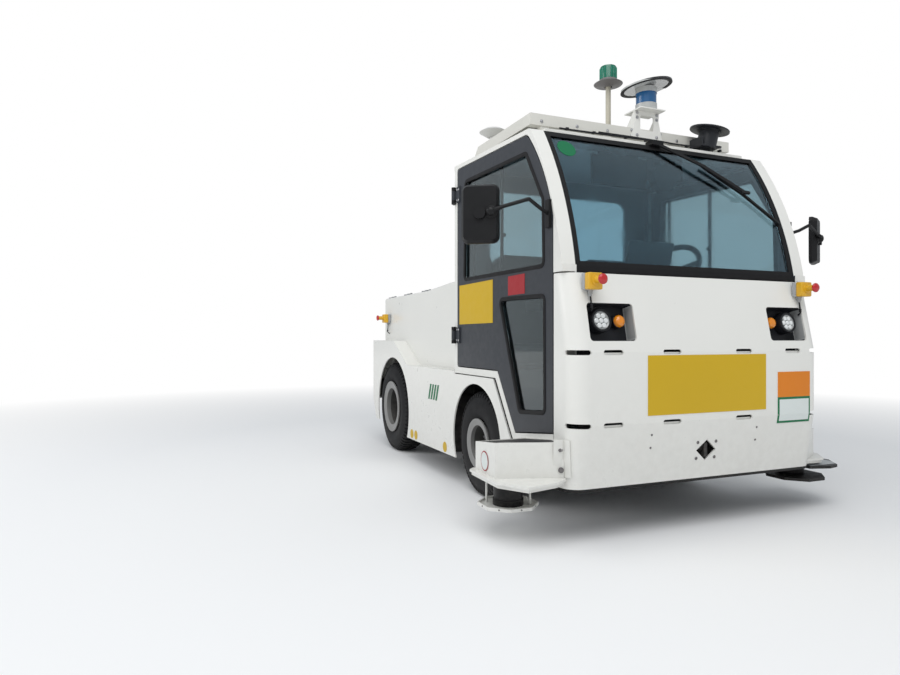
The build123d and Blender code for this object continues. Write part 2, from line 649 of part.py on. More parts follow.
def windscreen():
    """Bent glass in a black rubber frame, the strip under it, and the rear window's glass."""
    low, high, half = SCREEN_FOOT[1] - 8, SCREEN_HEAD[1], PILLAR_IN - NEAR
    with BuildPart() as seal:
        screen_band(2, 2 + SEAL_T, low, high, half)
        screen_band(-60, 60, low + SEAL_W, high - SEAL_W, half - SEAL_W, Mode.SUBTRACT)
        with Locations((0, at(SCREEN_FOOT[0] + 6), (low + PANEL_TOP + GAP) / 2)):
            Box(2 * half, 24, low - PANEL_TOP - GAP)
    keep(seal, "windscreen_seal")
    with BuildPart() as glass:
        screen_band(8, 8 + GLASS_T, low + SEAL_W + NEAR, high - SEAL_W - NEAR, half - SEAL_W - NEAR)
        wall = Plane(origin=(0, at(CAB_REAR - 16), 0), x_dir=(1, 0, 0), z_dir=(0, -1, 0))
        with BuildSketch(wall):
            with Locations((0, REAR_WINDOW_Z)):
                RectangleRounded(REAR_WINDOW_W - 2 * NEAR, REAR_WINDOW_H - 2 * NEAR, 60 - NEAR)
        extrude(amount=-GLASS_T)
    keep(glass, "cab_glass")


def roof():
    """Roof skin with a lip over the doors and the back, and horns that run down into the pillars."""
    head = SCREEN_HEAD[0]
    rear = CAB_REAR + LIP
    with BuildPart() as skin:
        with BuildSketch(Plane.YZ.offset(-HALF_WIDTH)):
            side_face([(head + LIP, roof_z(head + LIP)), (rear, roof_z(rear)), (rear, roof_z(rear) + ROOF_T),
                       (head + LIP, roof_z(head + LIP) + ROOF_T)])
        extrude(amount=2 * HALF_WIDTH)
        fillet(skin.edges().filter_by(Axis.Z).group_by(Axis.Y)[-1], 30)
        for x in (-HALF_WIDTH, PILLAR_IN + NEAR):
            with BuildSketch(Plane.YZ.offset(x)):
                side_face([(head + 0.2, SCREEN_HEAD[1] + NEAR), (head + LIP, SCREEN_HEAD[1] + NEAR),
                           (head + LIP, roof_z(head + LIP) + ROOF_T), (head + 14, roof_z(head + LIP) + ROOF_T - 1)])
            extrude(amount=HALF_WIDTH - PILLAR_IN - NEAR)
        with Locations((0, at(head + LIP + 20), roof_z(head + LIP) + ROOF_T + 8)):
            Box(2 * PILLAR_IN - 60, 34, 20)
    keep(skin, "roof")


def roof_rack():
    """Folded tray that carries the sensors, held off the roof on feet."""
    with BuildPart() as rack:
        with Locations((0, at((RACK_FRONT + RACK_REAR) / 2), (RACK_BOTTOM + RACK_TOP) / 2)):
            Box(2 * RACK_X, RACK_REAR - RACK_FRONT, RACK_TOP - RACK_BOTTOM)
        chamfer(rack.edges().filter_by(Axis.X).group_by(Axis.Y)[-1].sort_by(Axis.Z)[-1], 40)
        with Locations((0, at((RACK_FRONT + RACK_REAR) / 2), (RACK_BOTTOM + RACK_TOP) / 2 - 5)):
            Box(2 * RACK_X - 10, RACK_REAR - RACK_FRONT - 90, RACK_TOP - RACK_BOTTOM, mode=Mode.SUBTRACT)
        for x in (-540, -180, 180, 540):
            for station in (RACK_FRONT + 20, RACK_REAR - 22):
                foot = roof_z(station + 15) + ROOF_T + 0.1
                with Locations((x, at(station), (foot + RACK_BOTTOM + 6) / 2)):
                    Box(46, 30, RACK_BOTTOM + 6 - foot)
    keep(rack, "roof_rack")
    with BuildPart() as bracket:
        front = Plane(origin=(LIDAR_X, at(RACK_FRONT - NEAR), 0), x_dir=(1, 0, 0), z_dir=(0, -1, 0))
        with BuildSketch(front):
            with BuildLine():
                Polyline((-98, RACK_BOTTOM + 10), (-62, RACK_BOTTOM), (62, RACK_BOTTOM), (98, RACK_BOTTOM + 10),
                         (74, BRACKET_TOP - 46), (78, BRACKET_TOP - 6),
                         (-78, BRACKET_TOP - 6), (-74, BRACKET_TOP - 46), close=True)
            make_face()
            with Locations((0, BRACKET_TOP - 64)):
                RectangleRounded(84, 76, 10, mode=Mode.SUBTRACT)
        extrude(amount=6)
        with Locations((LIDAR_X, at(RACK_FRONT + 10), BRACKET_TOP - 3)):
            Box(156, 132, 6)
        for x in (LIDAR_X - 72, LIDAR_X + 72):
            with BuildSketch(Plane.YZ.offset(x - 3)):
                side_face([(RACK_FRONT - 5, RACK_TOP + 1), (RACK_FRONT + 60, RACK_TOP + 1),
                           (RACK_FRONT + 60, RACK_TOP + 24), (RACK_FRONT + 6, BRACKET_TOP - 6),
                           (RACK_FRONT - 5, BRACKET_TOP - 6)])
            extrude(amount=6)
    keep(bracket, "roof_lidar_bracket")
    with BuildPart() as lidar:
        with Locations((LIDAR_X, at(RACK_FRONT), BRACKET_TOP)):
            Cylinder(LIDAR_R, 34, align=(Align.CENTER, Align.CENTER, Align.MIN))
        with Locations((LIDAR_X, at(RACK_FRONT), BRACKET_TOP + 34)):
            Cylinder(LIDAR_R - 3, 54, align=(Align.CENTER, Align.CENTER, Align.MIN))
        with Locations((LIDAR_X, at(RACK_FRONT), BRACKET_TOP + 88)):
            Cylinder(LIDAR_R, LIDAR_H - 88, align=(Align.CENTER, Align.CENTER, Align.MIN))
        lid = Plane(origin=(LIDAR_X, at(RACK_FRONT), BRACKET_TOP + LIDAR_H + 6), x_dir=(1, 0, 0), z_dir=(-0.16, 0.04, 1))
        with BuildSketch(lid):
            Circle(130)
            with Locations((-150, 120)):
                Rectangle(140, 140, rotation=40, mode=Mode.SUBTRACT)
        extrude(amount=8)
        with Locations((LIDAR_X, at(RACK_FRONT), BRACKET_TOP + LIDAR_H)):
            Cylinder(34, 8, align=(Align.CENTER, Align.CENTER, Align.MIN))
    keep(lidar, "roof_lidar")
    with BuildPart() as second:
        foot = roof_z(SIDE_LIDAR_STATION + 60) + ROOF_T + 0.2
        tilt = Plane(origin=(SIDE_LIDAR_X, at(SIDE_LIDAR_STATION), foot + 40), x_dir=(1, 0, 0), z_dir=(0.17, -0.14, 1))
        with BuildSketch(tilt):
            Circle(50)
        extrude(amount=84)
        with BuildSketch(tilt.offset(84)):
            Circle(60)
        extrude(amount=6)
        with BuildSketch(tilt.offset(90)):
            Circle(100)
        extrude(amount=6)
        with Locations((SIDE_LIDAR_X, at(SIDE_LIDAR_STATION), foot + 42)):
            Box(130, 90, 8)
        with Locations((SIDE_LIDAR_X, at(SIDE_LIDAR_STATION + 32), foot + 20)):
            Box(60, 56, 40)
        with Locations((SIDE_LIDAR_X - 62, at(SIDE_LIDAR_STATION), foot + 62)):
            Box(6, 90, 48)
    keep(second, "side_lidar")
    with BuildPart() as antenna:
        with Locations((-ANTENNA_X, at(1020), RACK_TOP)):
            Cylinder(22, 40, align=(Align.CENTER, Align.CENTER, Align.MIN))
        with Locations((-ANTENNA_X, at(1020), RACK_TOP + 40)):
            Cone(34, ANTENNA_R, 28, align=(Align.CENTER, Align.CENTER, Align.MIN))
        with Locations((-ANTENNA_X, at(1020), RACK_TOP + 68)):
            Cone(ANTENNA_R, 50, 16, align=(Align.CENTER, Align.CENTER, Align.MIN))
    keep(antenna, "gnss_antenna")
    with BuildPart() as mast:
        with Locations((0, at(MAST_STATION), RACK_TOP)):
            Cylinder(34, 8, align=(Align.CENTER, Align.CENTER, Align.MIN))
            Cylinder(MAST_R, MAST_H, align=(Align.CENTER, Align.CENTER, Align.MIN))
        top = RACK_TOP + MAST_H
        with Locations((0, at(MAST_STATION), top - 8)):
            Cone(28, 74, 8, align=(Align.CENTER, Align.CENTER, Align.MIN))
        with Locations((0, at(MAST_STATION), top)):
            Cylinder(78, 5, align=(Align.CENTER, Align.CENTER, Align.MIN))
        with Locations((0, at(MAST_STATION), top + 5)):
            Cone(62, 50, 14, align=(Align.CENTER, Align.CENTER, Align.MIN))
        with Locations((0, at(MAST_STATION), top + 19)):
            Cylinder(46, 80, align=(Align.CENTER, Align.CENTER, Align.MIN))
        fillet(mast.edges().sort_by(Axis.Z)[-1], 10)
    keep(mast, "beacon")


def body_side():
    """Side plate with both arches, the ledge beside the hood and the stepped rear fender."""
    outer = Plane.YZ.offset(-HALF_WIDTH)
    start = CAB_REAR + 4
    under = DECK_Z - FLOOR_T - GAP
    with BuildPart() as side:
        with BuildSketch(outer):
            side_face([
                (494, 300), (546, sill_z(502) - FLOOR_T - 8), (741, under), (start, under), (start, LEDGE_Z),
                (FENDER_KINK, LEDGE_Z), (FENDER_TOP, FENDER_Z), (BODY_LENGTH, FENDER_Z), (BODY_LENGTH, 345),
                (REAR_ARCH + REAR_ARCH_R + 74, TAIL_Z), (REAR_ARCH, TAIL_Z), (REAR_ARCH, SKIRT_REAR_Z),
                (FRONT_ARCH, SKIRT_FRONT_Z), (FRONT_ARCH - 200, 250), (600, 250),
            ])
            for station, z, r in ((FRONT_ARCH, FRONT_ARCH_Z, FRONT_ARCH_R), (REAR_ARCH, REAR_ARCH_Z, REAR_ARCH_R)):
                with Locations((at(station), z)):
                    Circle(r, mode=Mode.SUBTRACT)
        extrude(amount=SHEET)
        with BuildSketch(outer):
            side_face([(start, LEDGE_Z - SHEET), (FENDER_KINK + 4, LEDGE_Z - SHEET), (FENDER_TOP + 4, FENDER_Z - SHEET),
                       (BODY_LENGTH, FENDER_Z - SHEET), (BODY_LENGTH, FENDER_Z), (FENDER_TOP, FENDER_Z),
                       (FENDER_KINK, LEDGE_Z), (start, LEDGE_Z)])
        extrude(amount=HALF_WIDTH - HOOD_X - NEAR)
        with Locations((-(HALF_WIDTH + HOOD_X) / 2, at(BODY_LENGTH) - SHEET / 2, (FENDER_Z + 345) / 2)):
            Box(HALF_WIDTH - HOOD_X - 2 * NEAR, SHEET, FENDER_Z - 345 - 8)
    keep_pair(side, "body_side")


def hood():
    """Battery hood between the fenders: a sheet box with the rear plate, a rimmed opening and its lid."""
    low = LEDGE_Z - 60
    profile = [(HOOD_FRONT, low), (HOOD_FRONT, HOOD_HIGH), (HOOD_STEP_FRONT, HOOD_HIGH), (HOOD_STEP_REAR, HOOD_LOW),
               (HOOD_REAR - 16, HOOD_LOW), (HOOD_REAR, HOOD_LOW - 16), (HOOD_REAR, low)]
    inner = [(HOOD_FRONT + SHEET, low - 1), (HOOD_FRONT + SHEET, HOOD_HIGH - SHEET), (HOOD_STEP_FRONT, HOOD_HIGH - SHEET),
             (HOOD_STEP_REAR, HOOD_LOW - SHEET), (HOOD_REAR - 20, HOOD_LOW - SHEET), (HOOD_REAR - SHEET, HOOD_LOW - 20),
             (HOOD_REAR - SHEET, low - 1)]
    rim_x = HOOD_X - RIM_W
    with BuildPart() as shell:
        with BuildSketch(Plane.YZ.offset(-HOOD_X)):
            side_face(profile)
        extrude(amount=2 * HOOD_X)
        fillet(shell.edges().filter_by(Axis.Y).group_by(Axis.Z)[-2:], 10)
        with BuildSketch(Plane.YZ.offset(-HOOD_X + SHEET)):
            side_face(inner)
        extrude(amount=2 * (HOOD_X - SHEET), mode=Mode.SUBTRACT)
        with Locations((0, at((LID_FRONT + LID_REAR) / 2), HOOD_LOW)):
            Box(2 * rim_x, LID_REAR - LID_FRONT, 40, mode=Mode.SUBTRACT)
        with Locations((0, at(REAR_AXLE), low + 39)):
            Box(2 * HOOD_X + 10, 540, 82, mode=Mode.SUBTRACT)
        with Locations((0, at(HOOD_REAR + 7), 560)):
            Box(2 * (HOOD_X - NEAR), 14, 520)
    keep(shell, "rear_hood")
    with BuildPart() as lid:
        with Locations((0, at((LID_FRONT + LID_REAR) / 2), HOOD_LOW - SHEET / 2)):
            Box(2 * (rim_x - GAP), LID_REAR - LID_FRONT - 2 * GAP, SHEET)
        for station in (LID_FRONT + 120, (LID_FRONT + LID_REAR) / 2 - 120, LID_REAR - 160):
            with Locations((0, at(station), HOOD_LOW - SHEET - 9)):
                Box(2 * rim_x - 160, 30, 18)
        for station in LID_HINGES:
            with Locations((-rim_x + GAP + 24, at(station), HOOD_LOW + 2.5)):
                Box(48, 60, 5)
            with Locations(Plane(origin=(-rim_x - 2, at(station), HOOD_LOW + 8), z_dir=(0, 1, 0))):
                Cylinder(7, 60)
            with Locations((-rim_x + 4, at(station), HOOD_LOW + 3.5)):
                Box(16, 60, 5)
            with Locations(Plane(origin=(-rim_x - 2, at(station), HOOD_LOW + 8), z_dir=(0, 1, 0))):
                Cylinder(4 + RUNNING, 80, mode=Mode.SUBTRACT)
    keep(lid, "battery_lid")
    with BuildPart() as pins:
        for station in LID_HINGES:
            with Locations(Plane(origin=(-rim_x - 2, at(station), HOOD_LOW + 8), z_dir=(0, 1, 0))):
                Cylinder(4, 104)
            for dy in (-42, 42):
                with Locations(Plane(origin=(-rim_x - 2, at(station) + dy, HOOD_LOW + 8), z_dir=(0, 1, 0))):
                    Cylinder(7, 20)
                with Locations((-rim_x - 16, at(station) + dy, HOOD_LOW + 4 + NEAR / 2)):
                    Box(28, 20, 8 - NEAR)
    keep(pins, "lid_hinges")
    with BuildPart() as battery:
        start = HOOD_FRONT + 160
        with Locations((0, at((start + BATTERY_END) / 2), RAIL_TOP + BATTERY_H / 2)):
            Box(BATTERY_W, BATTERY_END - start, BATTERY_H)
    keep(battery, "traction_battery")


def corner_side(sign, reach):
    """Outline points of one sensor box, its flange and its scanner's place, for how far it stands out."""
    side, out = HALF_WIDTH + NEAR, HALF_WIDTH + reach
    wall = [(side, BOX_FRONT), (out, BOX_NOSE), (out - 15, BOX_REAR), (side, BOX_REAR)]
    inner = [(side + 8, BOX_FRONT + 12), (out - 8, BOX_NOSE + 8), (out - 22, BOX_REAR - 8), (side + 8, BOX_REAR - 8)]
    flange = [(side, 62), (side + 0.22 * reach, 20), (out - 50, -18), (out + 28, 109), (out + 19, 386),
              (out - 8, 412), (side, 412)]
    if sign > 0:
        flange = [(side, 92), (out - 40, 84), (out + 54, 190), (out + 40, 380), (out + 10, 412), (side, 412)]
    turned = [[(sign * x, at(st)) for x, st in points] for points in (wall, inner, flange)]
    return turned, sign * (out - 0.386 * reach)


def plan_face(points):
    """Adds a face from (x, y) points."""
    with BuildLine() as outline:
        Polyline(*points, close=True)
    make_face(outline.edges())


def box_slope(top, thick):
    """Side outline of what lies over a sensor box's sloping top, or of a lid of that thickness under it."""
    fall = BOX_SLOPE * (420 - BOX_NOSE)
    side_face([(0, top), (BOX_NOSE, top), (420, top - fall), (420, top - fall + thick), (BOX_NOSE, top + thick),
               (0, top + thick)])


def corner_boxes():
    """Sensor boxes that stand out from the front corners, each with a laser scanner under its flange."""
    sides = [(*corner_side(-1, REACH_RIGHT), BOX_BOTTOM, BOX_TOP), (*corner_side(1, REACH_LEFT), BOX_BOTTOM - LEFT_LOW,
             BOX_TOP - LEFT_DROP)]
    with BuildPart() as boxes:
        for (wall, inner, flange), lx, bottom, top in sides:
            with BuildSketch(Plane.XY.offset(bottom)):
                plan_face(wall)
            extrude(amount=top - bottom)
            with BuildSketch(Plane.XY.offset(bottom - 1)):
                plan_face(inner)
            extrude(amount=top - bottom + 2, mode=Mode.SUBTRACT)
            with BuildSketch(Plane.YZ):
                box_slope(top, 60)
            extrude(amount=copysign(2 * HALF_WIDTH, lx), mode=Mode.SUBTRACT)
            with BuildSketch(Plane.XY.offset(bottom - 10)):
                plan_face(flange)
            extrude(amount=10)
            with BuildSketch(Plane.XY.offset(bottom - 24)):
                plan_face(flange)
                offset(amount=-8, kind=Kind.INTERSECTION)
            extrude(amount=14)
            with BuildSketch(Plane.XY.offset(bottom - 25)):
                plan_face(flange)
                offset(amount=-14, kind=Kind.INTERSECTION)
            extrude(amount=15, mode=Mode.SUBTRACT)
        lx = sides[0][1]
        posts = ((84, -40), (60, 74), (-70, 66))
        for dx, ds in posts:
            with Locations((lx + dx, at(CORNER_LIDAR_STATION + ds), (GUARD_Z + BOX_BOTTOM) / 2)):
                Cylinder(5, BOX_BOTTOM - GUARD_Z - 16)
        with BuildSketch(Plane.XY.offset(GUARD_Z)):
            with Locations((lx, at(CORNER_LIDAR_STATION))):
                RegularPolygon(GUARD_R, 8, major_radius=True, rotation=22.5)
        extrude(amount=GUARD_T)
        with BuildSketch(Plane.XY.offset(GUARD_Z + 5)):
            with Locations((lx, at(CORNER_LIDAR_STATION))):
                RegularPolygon(GUARD_R - 6, 8, major_radius=True, rotation=22.5)
        extrude(amount=GUARD_T, mode=Mode.SUBTRACT)
        for dx, ds in posts:
            with Locations((lx + dx, at(CORNER_LIDAR_STATION + ds), (GUARD_Z + BOX_BOTTOM) / 2)):
                Cylinder(5, BOX_BOTTOM - GUARD_Z - 8)
    keep(boxes, "corner_boxes")
    with BuildPart() as lids:
        for (wall, inner, flange), lx, bottom, top in sides:
            with BuildSketch(Plane.YZ):
                box_slope(top - 12, 9)
            across = copysign(2 * HALF_WIDTH, lx)
            strip = extrude(amount=across, mode=Mode.PRIVATE)
            with BuildSketch(Plane.XY.offset(bottom), mode=Mode.PRIVATE) as room:
                plan_face(inner)
                offset(amount=-NEAR, kind=Kind.INTERSECTION)
            block = extrude(room.sketch, amount=top - bottom + 40, mode=Mode.PRIVATE)
            add(strip & block)
    keep(lids, "corner_box_lids")
    with BuildPart() as scanners:
        for (wall, inner, flange), lx, bottom, top in sides:
            floor_z, top_z = GUARD_Z + 5, bottom - 10
            with Locations((lx, at(CORNER_LIDAR_STATION), floor_z)):
                Cylinder(CORNER_LIDAR_R, top_z - floor_z, align=(Align.CENTER, Align.CENTER, Align.MIN))
                Cylinder(CORNER_LIDAR_R + 4, 26, align=(Align.CENTER, Align.CENTER, Align.MIN))
        left = HALF_WIDTH + REACH_LEFT
        upper = [(left - 125, 92), (left - 20, 60), (left + 47, 74), (left + 122, 178), (left + 100, 400), (left - 125, 400)]
        low_x, low_station = left - 95, CORNER_LIDAR_STATION - 50
        with BuildSketch(Plane.XY.offset(PLATE_TOP - PLATE_T)):
            plan_face([(x, at(station)) for x, station in upper])
        extrude(amount=PLATE_T)
        with BuildSketch(Plane.XY.offset(GUARD_Z)):
            with Locations((low_x, at(low_station))):
                RegularPolygon(GUARD_R + 12, 8, major_radius=True, rotation=22.5)
        extrude(amount=PLATE_T)
    keep(scanners, "corner_lidars")


def interior():
    """Dashboard, steering, seats and the operator's screen."""
    with BuildPart() as dash:
        with BuildSketch(Plane.YZ.offset(-590)):
            side_face([(150.3, 960), (300, 980), (330, 1060), (290, 1120), (170, 1148), (150.3, 1146)], 8)
        extrude(amount=1180)
        with BuildSketch(Plane.YZ.offset(130)):
            side_face([(200, 1100), (330, 1060), (352, 1120), (300, 1180), (230, 1176)], 10)
        extrude(amount=260)
    keep(dash, "dashboard")
    shaft = Plane(origin=(STEERING_X, at(STEERING_STATION), STEERING_Z), x_dir=(1, 0, 0), z_dir=(0, 1, 1))
    with BuildPart() as column:
        with BuildSketch(shaft.offset(-30)):
            Circle(32)
        extrude(amount=-300)
        with BuildSketch(shaft.offset(-8 - NEAR)):
            Circle(16)
        extrude(amount=-40)
    keep(column, "steering_column")
    with BuildPart() as rim:
        with Locations(shaft):
            Torus(STEERING_R, 14)
        with BuildSketch(shaft.offset(-8)):
            Circle(46)
            for angle in (90, 210, 330):
                with Locations(Location((90 * cos(radians(angle)), 90 * sin(radians(angle)), 0))):
                    Rectangle(2 * STEERING_R - 180, 28, rotation=angle)
        extrude(amount=12)
    keep(rim, "steering_wheel")
    with BuildPart() as seats:
        for x in (-290, 290):
            with Locations((x, at(925), DECK_Z + NEAR + 60)):
                Box(470, 450, 120)
        fillet(seats.edges().filter_by(Axis.Z), 50)
        for x in (-290, 290):
            with BuildSketch(Plane.YZ.offset(x - 220)):
                side_face([(1050, DECK_Z + 90), (1150, DECK_Z + 90), (1196, 1330), (1110, 1330)], 22)
            extrude(amount=440)
    keep(seats, "seats")


def tow_hitch():
    """Stepped hitch of three pockets between two cheeks; the pin drops through round bores."""
    back = HOOD_REAR + 14 + NEAR
    with BuildPart() as hitch:
        with Locations((0, at(back + 10), 425)):
            Box(320, 20, 300)
        for z in (JAWS[0] - 50, *[j + 50 for j in JAWS]):
            with BuildSketch(Plane.XY.offset(z - JAW_T / 2)):
                with Locations((0, at((back + HITCH_END) / 2 - 20))):
                    Rectangle(2 * HITCH_X, HITCH_END - back - 40)
                with Locations((0, at(HITCH_END - HITCH_X))):
                    Circle(HITCH_X)
            extrude(amount=JAW_T)
        with Locations((0, at(back + 40), 425)):
            Box(2 * HITCH_X, 50, 300)
        with Locations((0, at(PIN_STATION), 425)):
            Cylinder(PIN_R, 400, mode=Mode.SUBTRACT)
    keep(hitch, "tow_hitch")


def stop_buttons():
    """Emergency stop boxes, two above the front panel's corners and two on the hood's sides at its back."""
    low = STOP_Z - STOP_HIGH / 2
    face = PANEL_LEAN * (low - FOLD_HIGH) / (PANEL_TOP - FOLD_HIGH)
    outer = face - NEAR - STOP_DEEP
    knob = STOP_REACH + outer
    with BuildPart() as stops:
        for x in (-STOP_X, STOP_X):
            with Locations((x, at(outer + STOP_DEEP / 2), STOP_Z)):
                Box(STOP_W, STOP_DEEP, STOP_HIGH)
            with Locations(Plane(origin=(x, at(outer + 2), STOP_Z + 4), z_dir=(0, -1, 0))):
                Cylinder(12, knob - 8, align=(Align.CENTER, Align.CENTER, Align.MIN))
            with Locations(Plane(origin=(x, at(16 - STOP_REACH), STOP_Z + 4), z_dir=(0, -1, 0))):
                Cylinder(21, 16, align=(Align.CENTER, Align.CENTER, Align.MIN))
        for side in (-1, 1):
            start = HOOD_X + NEAR
            with Locations((side * (start + STOP_DEEP / 2), at(REAR_STOP_STATION), REAR_STOP_Z)):
                Box(STOP_DEEP, STOP_W, STOP_HIGH)
            out = start + STOP_DEEP
            with Locations(Plane(origin=(side * (out - 2), at(REAR_STOP_STATION), REAR_STOP_Z), z_dir=(side, 0, 0))):
                Cylinder(12, knob - 8, align=(Align.CENTER, Align.CENTER, Align.MIN))
            out += knob - 16
            with Locations(Plane(origin=(side * out, at(REAR_STOP_STATION), REAR_STOP_Z), z_dir=(side, 0, 0))):
                Cylinder(21, 16, align=(Align.CENTER, Align.CENTER, Align.MIN))
    keep(stops, "stop_buttons")
    with BuildPart() as lamps:
        for x in (-500, 500):
            with Locations((x, at(HOOD_REAR + 14 + NEAR + 15), 620)):
                Box(110, 30, 180)
    keep(lamps, "rear_lamps")


def wiper():
    """Wiper motor over the header, two thin arms and the blade, and what hangs behind the glass."""
    def on_screen(x, z, off):
        return (x, screen_station(z) - off, z)

    with BuildPart() as arms:
        with Locations((0, at(SCREEN_HEAD[0] + LIP - NEAR - 25), SCREEN_HEAD[1] + NEAR + 10)):
            Box(70, 50, 20)
        top = (0, SCREEN_HEAD[0] - 12, SCREEN_HEAD[1] + 10)
        blade = ((603, 1425), (424, 1574), (240, 1706))
        low, middle, high = (on_screen(x, z, 7) for x, z in blade)
        held = on_screen(*blade[1], 30)
        for dx in (-10, 10):
            start = (top[0] + dx, top[1], top[2])
            bend = (213 + dx, screen_station(1700) - 34, 1700)
            flat_bar(start, bend, 10, 7)
            flat_bar(bend, (held[0] + dx, held[1], held[2]), 9, 6)
        flat_bar((held[0] - 20, held[1], held[2]), (held[0] + 20, held[1], held[2]), 14, 12)
        flat_bar(low, middle, 12, 11)
        flat_bar(middle, high, 12, 11)
        flat_bar(held, middle, 10, 10)
    keep(arms, "wiper")
    with BuildPart() as units:
        beam = roof_z(460)
        with Locations(Plane(origin=(117, at(462), 1668), z_dir=(0, -1, 0))):
            Cylinder(70, 44, align=(Align.CENTER, Align.CENTER, Align.MIN))
        with Locations((117, at(490), (1668 + beam) / 2)):
            Box(80, 56, beam - NEAR - 1668 - NEAR)
        with Locations((-120, at(484), 1690)):
            Box(330, 16, 150)
        visor_top = roof_z(487) - NEAR
        with Locations((-120, at(492), (1765 + visor_top) / 2)):
            Box(240, 10, visor_top - 1765)
    keep(units, "header_units")


wheels()
chassis()
front_axle()
rear_axle()
front_panel()
doors()
mirrors()
cab_frame()
cab_tub()
windscreen()
roof()
roof_rack()
body_side()
hood()
corner_boxes()
interior()
tow_hitch()
stop_buttons()
wiper()
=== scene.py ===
# %% [markdown]
# An electric tow tractor that drives itself: a two-seat cab, sensors on the roof and on the front corners, and
# a battery under the rear hood. Its main shapes come from the packed model, one mesh for each node. They could
# be modelled once more here, but then the picture and the part would drift apart. So this file dresses them:
# it gives every node a finish, adds what is too fine or too soft for the part, and sets up the studio.

# %% The frame and the tools
import math

import bmesh
import bpy
from mathutils import Matrix, Vector


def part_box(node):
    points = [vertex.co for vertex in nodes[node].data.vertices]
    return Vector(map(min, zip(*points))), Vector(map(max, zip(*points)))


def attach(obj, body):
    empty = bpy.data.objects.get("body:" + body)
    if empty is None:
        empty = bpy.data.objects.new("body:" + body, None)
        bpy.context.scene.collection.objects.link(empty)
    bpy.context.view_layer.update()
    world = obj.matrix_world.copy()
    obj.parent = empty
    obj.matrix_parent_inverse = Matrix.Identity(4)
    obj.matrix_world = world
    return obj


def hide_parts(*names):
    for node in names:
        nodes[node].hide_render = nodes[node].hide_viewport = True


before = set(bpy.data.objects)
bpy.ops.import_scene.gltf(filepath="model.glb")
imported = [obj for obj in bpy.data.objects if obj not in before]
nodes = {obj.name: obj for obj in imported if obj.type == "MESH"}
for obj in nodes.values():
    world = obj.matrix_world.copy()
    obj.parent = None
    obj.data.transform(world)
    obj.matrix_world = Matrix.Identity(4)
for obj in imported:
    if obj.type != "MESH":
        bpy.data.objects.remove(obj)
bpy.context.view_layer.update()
scene = bpy.context.scene

# %% [markdown]
# Places on the machine are named as a maker would: how far behind the front panel's folds (a station), how far
# out from the middle, and how high above the ground. The front and the walls could be typed in again, but they
# are measured on the packed nodes, so that the trim moves along when the part changes.


# %% Measures taken from the packed nodes
def corners(node):
    """The low and the high corner of a node's box, to the millimetre."""
    return [[round(v, 3) for v in corner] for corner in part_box(node)]


FRONT_Y = corners("front_panel")[0][1]
BODY_SIDE = corners("front_panel")[1][0]
HOOD_SIDE = corners("rear_hood")[1][0]
SIDES = (("right", -1), ("left", 1))


def at(station):
    """The y of a place that lies this many metres behind the front panel's folds."""
    return FRONT_Y + station


print("front at", FRONT_Y, "walls at", BODY_SIDE, "and", HOOD_SIDE)

# %% [markdown]
# The camera stands low, by the right front corner, and looks along the ground. Its place could be found by
# eye, but pairs of points that lie equally far from the middle of the machine fix it much better, and these
# numbers were worked out from such pairs.

# %% The camera
camera_data = bpy.data.cameras.new("camera")
camera_data.lens = 25.44
camera_data.sensor_width = 36.0
camera = bpy.data.objects.new("camera", camera_data)
camera.location = (-2.1236, at(-2.1656), 0.8556)
camera.rotation_euler = (math.radians(90.0), 0.0, math.radians(-22.24))
scene.collection.objects.link(camera)
scene.camera = camera
scene.view_settings.view_transform = "Standard"
print("camera at", [round(v, 3) for v in camera.location])

# %% [markdown]
# Outdoors, a bright sky lights the machine from everywhere and leaves a soft shadow below it. A sun lamp would
# cut hard shadows, so one large panel overhead and a weaker one from the side do the work of the sky.


# %% Lamps
def area_lamp(name, place, aim, size, watts):
    data = bpy.data.lights.new(name, "AREA")
    data.size = size
    data.energy = watts
    lamp = bpy.data.objects.new(name, data)
    lamp.location = place
    lamp.rotation_euler = (Vector(aim) - Vector(place)).to_track_quat("-Z", "Y").to_euler()
    scene.collection.objects.link(lamp)
    return lamp


CAB_MIDDLE = (0, 0, 0.8)
lamps = [area_lamp("sky_panel", (-2.5, -4.5, 7.0), CAB_MIDDLE, 6.0, 340),
         area_lamp("side_panel", (-7.0, 1.5, 4.0), CAB_MIDDLE, 4.0, 125)]
print("lamps:", [lamp.name for lamp in lamps])

# %% [markdown]
# The world is the even light between the panels. The camera, and rays that come through the cab's glass, are
# shown plain white in its place. A brighter world would give the same white, but would wash the paint out.

# %% The world
world = bpy.data.worlds.new("studio")
scene.world = world
world.use_nodes = True
sky, sky_link = world.node_tree.nodes, world.node_tree.links.new
sky.clear()
even_light, plain_sky = sky.new("ShaderNodeBackground"), sky.new("ShaderNodeBackground")
even_light.inputs["Color"].default_value = (0.90, 0.95, 1.0, 1)
even_light.inputs["Strength"].default_value = 0.50
plain_sky.inputs["Color"].default_value = (1, 1, 1, 1)
plain_sky.inputs["Strength"].default_value = 1.0
ray = sky.new("ShaderNodeLightPath")
seen = sky.new("ShaderNodeMath")
seen.operation = "MAXIMUM"
choice = sky.new("ShaderNodeMixShader")
sky_link(ray.outputs["Is Camera Ray"], seen.inputs[0])
sky_link(ray.outputs["Is Transmission Ray"], seen.inputs[1])
sky_link(seen.outputs[0], choice.inputs[0])
sky_link(even_light.outputs[0], choice.inputs[1])
sky_link(plain_sky.outputs[0], choice.inputs[2])
sky_link(choice.outputs[0], sky.new("ShaderNodeOutputWorld").inputs[0])
print("world light", even_light.inputs["Strength"].default_value)

# %% [markdown]
# The floor is pale concrete in a studio. A curved backdrop would hide its far edge, but shows from behind, so
# the floor itself fades into plain white with the distance from the machine.

